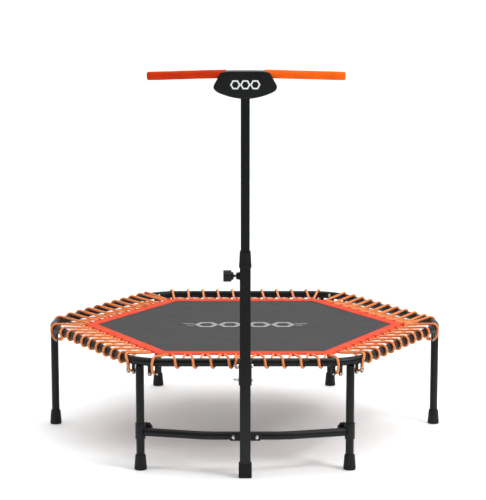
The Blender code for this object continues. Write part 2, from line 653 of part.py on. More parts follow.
def brace():
    steel = material("brace_steel", BLACK, 0.38)
    yb = BRACE_Y + HEX_Y
    leg_r = C0 + Vector((cos(radians(-60)), sin(radians(-60)), 0)) * LEG_R
    bend = 0.1175
    left = Vector((-leg_r.x, leg_r.y, BRACE_Z))
    right = Vector((leg_r.x, leg_r.y, BRACE_Z))
    a, b = Vector((-bend, yb, BRACE_Z)), Vector((bend, yb, BRACE_Z))
    soft = 0.02
    dl = (a - left).normalized()
    dr = (right - b).normalized()
    path = [left, a - dl * soft, a + Vector((soft, 0, 0)), b - Vector((soft, 0, 0)), b + dr * soft, right]
    tang = [dl, dl, Vector((1, 0, 0)), Vector((1, 0, 0)), dr, dr]
    outer = [ring_points(p, UP.cross(t).normalized(), UP, TUBE_R, SIDES) for p, t in zip(path, tang)]
    inner = [ring_points(p, UP.cross(t).normalized(), UP, TUBE_R - TUBE_WALL, SIDES) for p, t in zip(path, tang)]
    ob = to_object("brace", skin(outer, inner))
    cuts = [cutter(rod((q.x, q.y, 0), UP, 0.0150 + GAP + 0.0002, 0.05, 0.2, 20)) for q in (left, right)]
    for sx, q in ((-1, left), (1, right)):
        cuts.append(cutter(rod((sx * BOLT_X, yb, BRACE_Z - 0.001), (0, 1, 0), 0.0034, -0.03, 0.03, 8)))
        inward = (C0 - Vector((q.x, q.y, 0))).normalized()
        cuts.append(cutter(rod((q.x, q.y, 0.1185), inward, 0.0075, 0.010, 0.030, 10)))
    boolean(ob, cuts, "DIFFERENCE")
    finish(ob, "front_brace", steel)
    for name, ang in (("left", 240), ("right", -60)):
        r = Vector((cos(radians(ang)), sin(radians(ang)), 0))
        foot = C0 + r * LEG_R
        m = axis_frame(foot, UP, r)
        s = to_object("sleeve", move(lathe([(0.0150, 0.094), (0.0150, 0.143), (0.0128, 0.143), (0.0128, 0.094)], SIDES, loop=True), m))
        inward = -r
        o = foot + Vector((0, 0, 0.1185))
        boolean(s, [cutter(rod(o, inward, 0.0068, 0.0140, 0.0235, 10))], "UNION")
        boolean(s, [cutter(rod(foot, UP, 0.0128, 0.08, 0.16, SIDES, r)), cutter(rod(o, inward, 0.0045, 0.010, 0.03, 10))], "DIFFERENCE")
        finish(s, "brace_sleeve_" + name, material("sleeve_steel_" + name, BLACK, 0.38))
        k = lathe([(0.0040, 0.0132), (0.0040, 0.0262), (0.0100, 0.0262), (0.0120, 0.0280), (0.0175, 0.0290), (0.0182, 0.0305), (0.0182, 0.0420), (0.0165, 0.0440)], 20, star=0.09)
        placed(to_object("clamp_knob_" + name, move(k, axis_frame(o, inward)), material("clamp_knob_plastic_" + name, (0.02, 0.02, 0.02), 0.5)), o)
    zinc = lambda n: material(n, (0.70, 0.70, 0.69), 0.25, 1.0)
    for name, sx in (("left", -1), ("right", 1)):
        m = axis_frame((sx * BOLT_X, 0, BRACE_Z - 0.001), (0, -1, 0))
        front = -(PY + LOWER_W / 2 - 0.0008) + GAP       # distance along -Y of the plate's face
        back = -(yb + TUBE_R + GAP)
        bolt = lathe([(0.0030, back - 0.0075), (0.0030, front), (0.0062, front), (0.0058, front + 0.0018), (0.0040, front + 0.0032), (0.0015, front + 0.0037)], 8)
        to_object("brace_bolt_" + name, move(bolt, m), zinc("brace_bolt_zinc_" + name))
        nut = lathe([(0.0058, back - 0.0050), (0.0058, back), (0.0038, back), (0.0038, back - 0.0050)], 6, loop=True, turn=0.0)
        to_object("brace_nut_" + name, move(nut, m), zinc("brace_nut_zinc_" + name), smooth=False)


for side in range(6):
    frame_segment(side)
    leg(side)
    rope(side)
to_object("mat", hex_slab(MAT_FLAT + 0.0142, MAT_Z - MAT_T / 2, MAT_Z + MAT_T / 2), material("mat_weave", (0.09, 0.09, 0.095), 0.8), smooth=False)
border()
upright()
bracket()
handle()
brace()
bpy.context.view_layer.update()
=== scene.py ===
"""The looks of the mini trampoline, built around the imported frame. Metres, +Z up."""
import math
import random

import bpy
import bmesh
import numpy as np
from mathutils import Matrix, Vector


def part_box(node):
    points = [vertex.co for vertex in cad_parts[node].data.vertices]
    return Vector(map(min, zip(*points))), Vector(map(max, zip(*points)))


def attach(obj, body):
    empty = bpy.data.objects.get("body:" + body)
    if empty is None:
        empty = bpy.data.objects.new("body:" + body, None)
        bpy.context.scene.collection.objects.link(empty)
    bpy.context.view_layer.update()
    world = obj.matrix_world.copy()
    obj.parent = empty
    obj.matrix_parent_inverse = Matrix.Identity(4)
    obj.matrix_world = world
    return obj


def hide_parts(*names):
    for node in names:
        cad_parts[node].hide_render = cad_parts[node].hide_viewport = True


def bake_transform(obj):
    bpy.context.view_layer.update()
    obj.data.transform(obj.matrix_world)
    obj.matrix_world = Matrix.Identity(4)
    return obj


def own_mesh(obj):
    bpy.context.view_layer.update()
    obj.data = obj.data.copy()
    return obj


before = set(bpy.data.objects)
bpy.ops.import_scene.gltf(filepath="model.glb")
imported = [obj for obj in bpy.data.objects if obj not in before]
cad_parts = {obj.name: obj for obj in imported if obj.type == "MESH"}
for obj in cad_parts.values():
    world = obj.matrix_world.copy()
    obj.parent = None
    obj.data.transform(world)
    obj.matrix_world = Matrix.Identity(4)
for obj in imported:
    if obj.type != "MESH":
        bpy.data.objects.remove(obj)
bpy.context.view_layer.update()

pi, cos, sin, tan, radians = math.pi, math.cos, math.sin, math.tan, math.radians
UP = Vector((0, 0, 1))


def mid(node):
    lo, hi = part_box(node)
    return (lo + hi) / 2


# ---------------------------------------------------------------- places taken from the frame
C0 = Vector((0.0, mid("mat").y, 0.0))
PY = mid("upper_pole").y
MAT_Z = mid("mat").z
FRAME_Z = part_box("frame_segment_right")[1].z - 0.0125 * cos(radians(18))
APOTHEM, BEND_R, TUBE_R, TUBE_WALL = 0.5648, 0.160, 0.0125, 0.0015
JOINT_S, EAR_Z = 0.19, 0.291
EARS = [(-0.272, 0.272), (-0.284, 0.253), (-0.265, 0.270), (-0.272, 0.268), (-0.272, 0.262), (-0.253, 0.284)]
LEG_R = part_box("leg_right")[1].x - TUBE_R * cos(radians(18))
MAT_FLAT, ROPE_N, ROPE_R = 0.4195, 0.4625, 0.0039
WRAP_R = TUBE_R + ROPE_R - 0.0003
LOOPS = 10
# each side: first loop, loop spacing, first turn round the tube, turn spacing, passes under the tube first, runs the other way
LACING = [(-0.218, 0.0531, -0.2055, 0.0531, False, 1), (-0.246, 0.0527, -0.1775, 0.0531, True, -1), (-0.243, 0.0530, -0.2110, 0.0530, False, 1),
          (-0.2325, 0.0536, -0.2200, 0.0536, False, 1), (-0.243, 0.0531, -0.2305, 0.0531, False, 1), (-0.246, 0.0527, -0.1775, 0.0531, True, 1)]
BAR_C = Vector((0, PY, mid("handle_bar").z + 0.0034))
LOCK_Z = mid("lock_knob").z
BRACE_Z = mid("front_brace").z
CLAMP_Z = mid("clamp_knob_left").z
HALF = APOTHEM * tan(radians(30))
S0 = HALF - BEND_R * tan(radians(30))
SIDE_NAMES = ["front", "front_right", "back_right", "back", "back_left", "front_left"]
CORNER_NAMES = ["front_right", "right", "back_right", "back_left", "left", "front_left"]


def side_axes(k):
    a = radians(-90 + 60 * k)
    return Vector((cos(a), sin(a), 0)), Vector((-sin(a), cos(a), 0))


def on_tube(k, s):
    n, t = side_axes(k)
    if abs(s) <= S0:
        return C0 + n * APOTHEM + t * s + Vector((0, 0, FRAME_Z)), n
    sg = 1 if s > 0 else -1
    f = math.asin(min(1.0, (abs(s) - S0) / BEND_R))
    c = C0 + n * (APOTHEM - BEND_R * (1 - cos(f))) + t * s + Vector((0, 0, FRAME_Z))
    return c, n * cos(f) + t * (sg * sin(f))


def on_wrap(k, s, deg, r=WRAP_R):
    c, n = on_tube(k, s)
    return c + n * (r * cos(radians(deg))) + Vector((0, 0, r * sin(radians(deg))))


def in_mat(k, s, n_dist, z=MAT_Z):
    n, t = side_axes(k)
    return C0 + n * n_dist + t * s + Vector((0, 0, z))


# ---------------------------------------------------------------- materials
class Nodes:
    """A small helper to write node materials."""

    def __init__(self, name):
        self.m = bpy.data.materials.new(name)
        self.m.use_nodes = True
        self.t = self.m.node_tree
        self.b = self.t.nodes["Principled BSDF"]
        self.co = self.t.nodes.new("ShaderNodeTexCoord")

    def add(self, kind, **props):
        n = self.t.nodes.new("ShaderNode" + kind)
        for k, v in props.items():
            setattr(n, k, v)
        return n

    def link(self, a, b):
        self.t.links.new(a, b)
        return b

    def set(self, **v):
        for k, x in v.items():
            self.b.inputs[k.replace("_", " ")].default_value = x
        return self

    def scaled(self, src, scale):
        mp = self.add("Mapping")
        mp.inputs["Scale"].default_value = scale
        self.link(src, mp.inputs["Vector"])
        return mp.outputs["Vector"]

    def noise(self, scale, detail=2.0, vec=None, rough=0.5, dist=0.0):
        n = self.add("TexNoise")
        n.inputs["Scale"].default_value = scale
        n.inputs["Detail"].default_value = detail
        n.inputs["Roughness"].default_value = rough
        n.inputs["Distortion"].default_value = dist
        self.link(vec or self.co.outputs["Object"], n.inputs["Vector"])
        return n.outputs["Fac"]

    def wave(self, vec, scale, axis="X", dist=0.0, profile="SIN"):
        n = self.add("TexWave", wave_type="BANDS", bands_direction=axis, wave_profile=profile)
        n.inputs["Scale"].default_value = scale
        n.inputs["Distortion"].default_value = dist
        self.link(vec, n.inputs["Vector"])
        return n.outputs["Fac"]

    def math(self, op, a, b=0.5, c=None):
        n = self.add("Math", operation=op)
        for i, x in enumerate((a, b, c)):
            if x is None:
                continue
            if isinstance(x, (int, float)):
                n.inputs[i].default_value = x
            else:
                self.link(x, n.inputs[i])
        return n.outputs[0]

    def ramp(self, fac, *stops):
        n = self.add("ValToRGB")
        e = n.color_ramp.elements
        while len(e) < len(stops):
            e.new(0.5)
        for el, (p, c) in zip(e, stops):
            el.position = p
            el.color = (*c, 1.0) if len(c) == 3 else c
        self.link(fac, n.inputs["Fac"])
        return n.outputs["Color"]

    def rng(self, fac, lo, hi, a=0.0, b=1.0):
        n = self.add("MapRange")
        n.inputs["From Min"].default_value = a
        n.inputs["From Max"].default_value = b
        n.inputs["To Min"].default_value = lo
        n.inputs["To Max"].default_value = hi
        self.link(fac, n.inputs["Value"])
        return n.outputs["Result"]

    def mix(self, fac, a, b, blend="MIX"):
        n = self.add("Mix", data_type="RGBA", blend_type=blend)
        if isinstance(fac, (int, float)):
            n.inputs["Factor"].default_value = fac
        else:
            self.link(fac, n.inputs["Factor"])
        for sock, x in (("A", a), ("B", b)):
            s = [i for i in n.inputs if i.name == sock and i.type == "RGBA"][0]
            if isinstance(x, tuple):
                s.default_value = (*x, 1.0)
            else:
                self.link(x, s)
        return [o for o in n.outputs if o.type == "RGBA"][0]

    def bump(self, height, strength, distance, normal=None):
        n = self.add("Bump")
        n.inputs["Strength"].default_value = strength
        n.inputs["Distance"].default_value = distance
        self.link(height, n.inputs["Height"])
        if normal is not None:
            self.link(normal, n.inputs["Normal"])
        return n.outputs["Normal"]

    def out(self, color=None, rough=None, normal=None):
        if color is not None:
            self.link(color, self.b.inputs["Base Color"])
        if rough is not None:
            self.link(rough, self.b.inputs["Roughness"])
        if normal is not None:
            self.link(normal, self.b.inputs["Normal"])
        return self.m


def dim(c, f):
    return tuple(min(1.0, x * f) for x in c)


def powder_coat(name, col, r0=0.32, r1=0.46, low=None):
    """Semi-gloss powder coat: fine orange peel, faint cloudiness, scuffs."""
    n = Nodes(name)
    cloud = n.noise(7.0, 4.0)
    peel = n.noise(420.0, 2.0)
    fine = n.noise(1500.0, 1.0)
    scuff = n.noise(60.0, 6.0, n.scaled(n.co.outputs["Object"], (1, 1, 0.15)), 0.7)
    c = n.ramp(cloud, (0.3, dim(col, 0.8)), (0.7, dim(col, 1.25)))
    c = n.mix(n.rng(scuff, 0.0, 0.35, 0.62, 0.78), c, dim(col, 2.6))
    r = n.rng(n.math("ADD", n.math("MULTIPLY", cloud, 0.7), n.math("MULTIPLY", scuff, 0.3)), r0, r1, 0.3, 0.7)
    b = n.bump(peel, 0.10, 0.0006)
    b = n.bump(fine, 0.05, 0.0002, b)
    if low is not None:                     # blends to the low colour towards the foot
        sep = n.add("SeparateXYZ")
        n.link(n.co.outputs["Object"], sep.inputs[0])
        c = n.mix(n.rng(sep.outputs[2], 1.0, 0.0, 0.05, 0.34), c, low)
    n.set(Specular_IOR_Level=0.22)
    return n.out(c, r, b)


def rubber(name, col=(0.010, 0.010, 0.010)):
    n = Nodes(name)
    mott = n.noise(45.0, 5.0)
    grain = n.noise(900.0, 3.0)
    dust = n.noise(14.0, 3.0)
    c = n.ramp(mott, (0.3, dim(col, 0.75)), (0.7, dim(col, 1.3)))
    c = n.mix(n.rng(dust, 0.0, 0.15, 0.5, 0.8), c, (0.05, 0.049, 0.047))
    n.set(Specular_IOR_Level=0.25)
    return n.out(c, n.rng(mott, 0.55, 0.75, 0.3, 0.7), n.bump(grain, 0.25, 0.0004))


def plastic(name, col, r0=0.38, r1=0.52, grain=0.15):
    n = Nodes(name)
    cloud = n.noise(12.0, 3.0)
    g = n.add("TexVoronoi")
    g.inputs["Scale"].default_value = 900.0
    n.link(n.co.outputs["Object"], g.inputs["Vector"])
    c = n.ramp(cloud, (0.3, dim(col, 0.85)), (0.7, dim(col, 1.18)))
    n.set(Specular_IOR_Level=0.25)
    return n.out(c, n.rng(cloud, r0, r1, 0.3, 0.7), n.bump(g.outputs["Distance"], grain, 0.0003))


def zinc(name, col=(0.62, 0.62, 0.60), r0=0.22, r1=0.42):
    n = Nodes(name)
    cloud = n.noise(160.0, 4.0)
    turn = n.noise(500.0, 2.0, n.scaled(n.co.outputs["Object"], (1, 6, 1)))
    n.set(Metallic=1.0)
    c = n.ramp(cloud, (0.3, dim(col, 0.8)), (0.65, col), (0.8, (0.75, 0.70, 0.55)))
    return n.out(c, n.rng(cloud, r0, r1, 0.3, 0.7), n.bump(turn, 0.12, 0.0002))


def foam(name, col):
    """Soft closed-cell foam sleeve."""
    n = Nodes(name)
    v = n.add("TexVoronoi")
    v.inputs["Scale"].default_value = 700.0
    n.link(n.co.outputs["Object"], v.inputs["Vector"])
    big = n.noise(30.0, 4.0)
    pores = n.noise(1100.0, 3.0)
    c = n.ramp(big, (0.3, dim(col, 0.86)), (0.7, dim(col, 1.1)))
    c = n.mix(n.rng(pores, 0.0, 0.35, 0.62, 0.8), c, dim(col, 0.55))
    b = n.bump(v.outputs["Distance"], 0.25, 0.0005)
    b = n.bump(pores, 0.2, 0.0003, b)
    n.set(Specular_IOR_Level=0.10)
    return n.out(c, n.rng(big, 0.55, 0.72, 0.3, 0.7), b)


def woven(name):
    """Woven mat cloth: tight warp and weft with faint streaks along the warp."""
    n = Nodes(name)
    o = n.co.outputs["Object"]
    wx = n.wave(o, 170.0, "X", 0.4)
    wy = n.wave(o, 170.0, "Y", 0.4)
    weave = n.math("ABSOLUTE", n.math("SUBTRACT", wx, wy))
    streak = n.noise(9.0, 5.0, n.scaled(o, (0.8, 9.0, 1.0)), 0.6)
    fleck = n.noise(260.0, 3.0, n.scaled(o, (0.35, 1.6, 1.0)))
    c = n.ramp(weave, (0.0, (0.023, 0.023, 0.024)), (0.55, (0.035, 0.035, 0.036)), (1.0, (0.048, 0.048, 0.049)))
    c = n.mix(n.rng(streak, 0.0, 0.75, 0.38, 0.66), c, (0.064, 0.064, 0.066))
    c = n.mix(n.rng(fleck, 0.0, 0.40, 0.52, 0.75), c, (0.018, 0.018, 0.019))
    n.set(Specular_IOR_Level=0.2)
    b = n.bump(weave, 0.5, 0.0005)
    b = n.bump(fleck, 0.15, 0.0004, b)
    return n.out(c, n.rng(streak, 0.62, 0.8, 0.3, 0.7), b)


def webbing(name, col=(0.84, 0.066, 0.022)):
    """Polyester webbing: fine twill ribs along the UV direction."""
    n = Nodes(name)
    uv = n.co.outputs["UV"]
    a = n.wave(uv, 230.0, "DIAGONAL", 0.6)
    rib = n.wave(uv, 260.0, "Y", 0.3)
    fleck = n.noise(700.0, 3.0)
    cloud = n.noise(16.0, 4.0)
    w = n.math("ADD", n.math("MULTIPLY", a, 0.55), n.math("MULTIPLY", rib, 0.45))
    c = n.ramp(w, (0.1, dim(col, 0.62)), (0.55, col), (1.0, (0.92, 0.125, 0.050)))
    c = n.mix(n.rng(cloud, 0.0, 0.35, 0.4, 0.75), c, dim(col, 0.72))
    c = n.mix(n.rng(fleck, 0.0, 0.15, 0.6, 0.8), c, (0.92, 0.20, 0.10))
    n.set(Specular_IOR_Level=0.15)
    return n.out(c, n.rng(cloud, 0.6, 0.8, 0.3, 0.7), n.bump(w, 0.5, 0.0006))


def cord_mat(name, col=(0.93, 0.215, 0.048)):
    """Braided elastic cord: two families of crossing strands, painted shade in the grooves, painted pale highlights on
    the crowns and along the fine threads.
    """
    n = Nodes(name)
    uv = n.co.outputs["UV"]
    p = n.wave(uv, 1.0, "DIAGONAL", 0.0)
    # u is length / diameter and v is once round, so the two slants cross as a braid
    sep = n.add("SeparateXYZ")
    n.link(uv, sep.inputs[0])
    u, v = sep.outputs[0], sep.outputs[1]
    s1 = n.math("SINE", n.math("ADD", n.math("MULTIPLY", u, 7.5), n.math("MULTIPLY", v, 2 * pi * 5)))
    s2 = n.math("SINE", n.math("SUBTRACT", n.math("MULTIPLY", u, 7.5), n.math("MULTIPLY", v, 2 * pi * 5)))
    br = n.math("MULTIPLY_ADD", n.math("MAXIMUM", s1, s2), 0.5, 0.5)
    thread = n.math("MULTIPLY_ADD", n.math("SINE", n.math("ADD", n.math("MULTIPLY", u, 38.0), n.math("MULTIPLY", v, 2 * pi * 26))), 0.5, 0.5)
    cloud = n.noise(25.0, 4.0)
    # painted shade and highlight: the braid's grooves are darkened and its crowns lightened
    c = n.ramp(br, (0.35, dim(col, 0.55)), (0.7, col), (1.0, (0.97, 0.36, 0.13)))
    # painted highlight: pale salmon flecks along the fine thread lines
    c = n.mix(n.rng(thread, 0.0, 0.22), c, (0.97, 0.52, 0.27))
    c = n.mix(n.rng(cloud, 0.0, 0.3, 0.45, 0.8), c, dim(col, 0.7))
    b = n.bump(br, 0.6, 0.0006)
    b = n.bump(thread, 0.2, 0.0002, b)
    n.t.nodes.remove(p.node)
    n.set(Specular_IOR_Level=0.2)
    return n.out(c, n.rng(cloud, 0.55, 0.72, 0.3, 0.7), b)


def print_ink(name, col):
    n = Nodes(name)
    wear = n.noise(300.0, 5.0)
    cloud = n.noise(40.0, 3.0)
    c = n.ramp(cloud, (0.3, dim(col, 0.86)), (0.7, col))
    c = n.mix(n.rng(wear, 0.0, 0.45, 0.58, 0.75), c, dim(col, 0.5))
    return n.out(c, n.rng(wear, 0.5, 0.75, 0.3, 0.7), n.bump(wear, 0.1, 0.0002))


BLACK = (0.0034, 0.0034, 0.0037)
M = {
    "frame": powder_coat("frame_coat", BLACK),
    # painted light and shade: the legs and brace take lighter copies and the pole a darker copy of the frame's one
    # black coat
    "leg": powder_coat("leg_coat", dim(BLACK, 2.1)),
    "pole": powder_coat("pole_coat", dim(BLACK, 0.35), 0.42, 0.55, low=(0.016, 0.016, 0.016)),
    "brace": powder_coat("brace_coat", dim(BLACK, 2.2)),
    # painted reflection: the bar is black gloss steel, given a mid grey all over that stands in for the light's
    # reflection on it
    "bar": powder_coat("bar_coat", (0.13, 0.13, 0.13), 0.25, 0.38),
    "foot": rubber("foot_rubber_look"),
    "polefoot": rubber("pole_foot_rubber_look", (0.006, 0.006, 0.006)),
    "collar": plastic("collar_look", (0.006, 0.006, 0.0065), 0.4, 0.55),
    "knob": plastic("knob_look", (0.007, 0.007, 0.0075), 0.34, 0.48, 0.3),
    "cover": plastic("cover_look", (0.0026, 0.0026, 0.003), 0.42, 0.55, 0.2),
    "zinc": zinc("zinc_look"),
    "bush": zinc("bush_look", (0.36, 0.36, 0.37), 0.28, 0.45),
    # painted light and shade: the two grips are one orange foam, the left painted darker as shade and the right
    # brighter as lit
    "foam_l": foam("grip_foam_painted_shade", (0.57, 0.030, 0.001)),
    "foam_r": foam("grip_foam_painted_light", (0.95, 0.120, 0.004)),
    "mat": woven("mat_look"),
    "web": webbing("webbing_look"),
    "thread": webbing("thread_look", (0.50, 0.03, 0.012)),
    "rope": cord_mat("rope_look"),
    "ink": print_ink("mat_print", (0.30, 0.30, 0.30)),
    "ink2": print_ink("cover_print", (0.88, 0.88, 0.88)),
}


# ---------------------------------------------------------------- mesh helpers
class Builder:
    """Collects rings, lathes and boxes into one mesh."""

    def __init__(self):
        self.v, self.f, self.uv = [], [], []

    def loft(self, rings, caps=(True, True), loop=False, uvs=None):
        base, n = len(self.v), len(rings[0])
        for r in rings:
            self.v.extend(tuple(p) for p in r)
        m = len(rings)
        for j in range(m if loop else m - 1):
            a, b = base + j * n, base + ((j + 1) % m) * n
            for i in range(n):
                i2 = (i + 1) % n
                self.f.append((a + i, a + i2, b + i2, b + i))
                if uvs is not None:
                    u0, u1 = uvs[j], uvs[(j + 1) % m]
                    v0, v1 = i / n, (i + 1) / n
                    self.uv.append(((u0, v0), (u0, v1), (u1, v1), (u1, v0)))
                else:
                    self.uv.append(None)
        if not loop:
            for flag, j, rev in ((caps[0], 0, True), (caps[1], m - 1, False)):
                if flag:
                    ids = [base + j * n + i for i in range(n)]
                    self.f.append(tuple(reversed(ids)) if rev else tuple(ids))
                    self.uv.append(None)
        return self

    def obj(self, name, mat, body, replaces=(), slot=None, sharp=38, uvmap=None, flip=True):
        me = bpy.data.meshes.new(name)
        me.from_pydata(self.v, [], self.f)
        layer = me.uv_layers.new(name="UVMap")
        li = 0
        for fi, face in enumerate(self.f):
            for c in range(len(face)):
                if self.uv[fi] is not None:
                    layer.data[li].uv = self.uv[fi][c]
                elif uvmap is not None:
                    layer.data[li].uv = uvmap(Vector(self.v[face[c]]))
                else:
                    p = self.v[face[c]]
                    layer.data[li].uv = (p[0] + p[1] * 0.5, p[2] + p[1] * 0.3)
                li += 1
        if flip:
            bm = bmesh.new()
            bm.from_mesh(me)
            bmesh.ops.recalc_face_normals(bm, faces=bm.faces)
            bm.to_mesh(me)
            bm.free()
        me.validate()
        me.materials.append(mat)
        me.shade_smooth()
        me.set_sharp_from_angle(angle=radians(sharp))
        ob = bpy.data.objects.new(name, me)
        bpy.context.scene.collection.objects.link(ob)
        if body:
            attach(ob, body)
        if replaces:
            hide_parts(*replaces)
        return ob


def ring(c, u, v, r, n, turn=0.0):
    return [c + u * (r * cos(2 * pi * (i + turn) / n)) + v * (r * sin(2 * pi * (i + turn) / n)) for i in range(n)]


def fillet(pts, r, steps=4, closed=False):
    """Rounds the corners of a 2-D outline."""
    out = []
    m = len(pts)
    for i, p in enumerate(pts):
        if not closed and i in (0, m - 1):
            out.append(tuple(p))
            continue
        p0, p1, p2 = Vector(pts[i - 1][:2]), Vector(p[:2]), Vector(pts[(i + 1) % m][:2])
        rr = p[2] if len(p) > 2 else r
        a, b = p0 - p1, p2 - p1
        d = min(rr, a.length * 0.48, b.length * 0.48)
        if d < 1e-6:
            out.append((p1.x, p1.y))
            continue
        a, b = p1 + a.normalized() * d, p1 + b.normalized() * d
        for j in range(steps + 1):
            t = j / steps
            q = a * (1 - t) ** 2 + p1 * (2 * t * (1 - t)) + b * t * t
            out.append((q.x, q.y))
    return out


def frame_of(origin, z, x=None):
    z = Vector(z).normalized()
    x = Vector(x) if x is not None else (Vector((0, 0, 1)) if abs(z.z) < 0.9 else Vector((1, 0, 0)))
    x = (x - z * x.dot(z)).normalized()
    m = Matrix((x, z.cross(x), z)).transposed().to_4x4()
    m.translation = Vector(origin)
    return m


def lathe_rings(profile, n, m, shape=None):
    out = []
    for r, z in profile:
        pts = []
        for i in range(n):
            a = 2 * pi * i / n
            rr = r if shape is None else shape(r, z, a)
            pts.append(m @ Vector((rr * cos(a), rr * sin(a), z)))
        out.append(pts)
    return out


def lathe(b, profile, n, m, shape=None, loop=False):
    return b.loft(lathe_rings(profile, n, m, shape), loop=loop)


def rrect(w, d, r, n=5):
    """Rounded rectangle outline, centred."""
    pts = []
    for cx, cy, a0 in ((w / 2 - r, d / 2 - r, 0), (-w / 2 + r, d / 2 - r, 90), (-w / 2 + r, -d / 2 + r, 180), (w / 2 - r, -d / 2 + r, 270)):
        for j in range(n + 1):
            a = radians(a0 + 90 * j / n)
            pts.append((cx + r * cos(a), cy + r * sin(a)))
    return pts


def plate(b, outline, m, z0, z1, edge=0.0006):
    """Flat plate of any outline with softened edges; outline is 2-D in m's XY."""
    c = Vector((sum(p[0] for p in outline) / len(outline), sum(p[1] for p in outline) / len(outline)))

    def shrink(d):
        out = []
        n = len(outline)
        for j in range(n):
            p0, p1, p2 = Vector(outline[j - 1]), Vector(outline[j]), Vector(outline[(j + 1) % n])
            e1, e2 = (p1 - p0), (p2 - p1)
            n1 = Vector((-e1.y, e1.x)).normalized() if e1.length > 1e-9 else Vector((0, 0))
            n2 = Vector((-e2.y, e2.x)).normalized() if e2.length > 1e-9 else n1
            nn = n1 + n2
            nn = nn.normalized() if nn.length > 1e-9 else n1
            out.append(p1 + nn * (d / max(0.5, nn.dot(n2))))
        return out

    area = sum(outline[i - 1][0] * outline[i][1] - outline[i][0] * outline[i - 1][1] for i in range(len(outline)))
    sg = 1 if area > 0 else -1
    rings = []
    for d, z in ((edge, z0), (edge * 0.3, z0 + edge * 0.3), (0, z0 + edge), (0, z1 - edge), (edge * 0.3, z1 - edge * 0.3), (edge, z1)):
        rings.append([m @ Vector((p[0], p[1], z)) for p in shrink(sg * d)])
    return b.loft(rings)


def bead(b, pts, r, n=8, closed=False):
    """Weld bead along points."""
    sweep(b, pts, [r] * len(pts), n, closed=closed)
    return b


def sweep(b, pts, radii, n, closed=False, caps=(True, True), uv_scale=None, relief=None):
    pts = [Vector(p) for p in pts]
    m = len(pts)
    tang = []
    for i in range(m):
        a = pts[(i - 1) % m] if (closed or i > 0) else pts[0]
        c = pts[(i + 1) % m] if (closed or i < m - 1) else pts[-1]
        tang.append((c - a).normalized())
    t = tang[0]
    u = t.orthogonal().normalized()
    if abs(t.z) < 0.9:
        u = (UP - t * UP.dot(t)).normalized()
    rings, us, acc = [], [], 0.0
    for i in range(m):
        t2 = tang[i]
        if i:
            u = t.rotation_difference(t2) @ u
            acc += (pts[i] - pts[i - 1]).length
        t = t2
        u = (u - t * u.dot(t)).normalized()
        v = t.cross(u)
        if relief is None:
            rings.append(ring(pts[i], u, v, radii[i], n))
        else:
            rr = []
            for j in range(n):
                a = 2 * pi * j / n
                rad = radii[i] * relief(acc, a)
                rr.append(pts[i] + u * (rad * cos(a)) + v * (rad * sin(a)))
            rings.append(rr)
        us.append(acc * uv_scale if uv_scale else acc)
    b.loft(rings, caps=caps, loop=closed, uvs=us if uv_scale else None)
    return acc


def chaikin(pts, times=2, vals=None):
    for _ in range(times):
        out, ov = [pts[0]], [vals[0]] if vals else None
        for i in range(len(pts) - 1):
            out.append(pts[i] * 0.75 + pts[i + 1] * 0.25)
            out.append(pts[i] * 0.25 + pts[i + 1] * 0.75)
            if vals:
                ov.append(vals[i] * 0.75 + vals[i + 1] * 0.25)
                ov.append(vals[i] * 0.25 + vals[i + 1] * 0.75)
        out.append(pts[-1])
        if vals:
            ov.append(vals[-1])
        pts, vals = out, ov
    return pts, vals


def resample(pts, step, vals=None):
    d = [0.0]
    for a, c in zip(pts, pts[1:]):
        d.append(d[-1] + (c - a).length)
    n = max(2, int(round(d[-1] / step)))
    x = np.linspace(0, d[-1], n + 1)
    arr = np.array([tuple(p) for p in pts])
    out = [Vector([float(np.interp(q, d, arr[:, k])) for k in range(3)]) for q in x]
    return out, ([float(np.interp(q, d, vals)) for q in x] if vals else None)


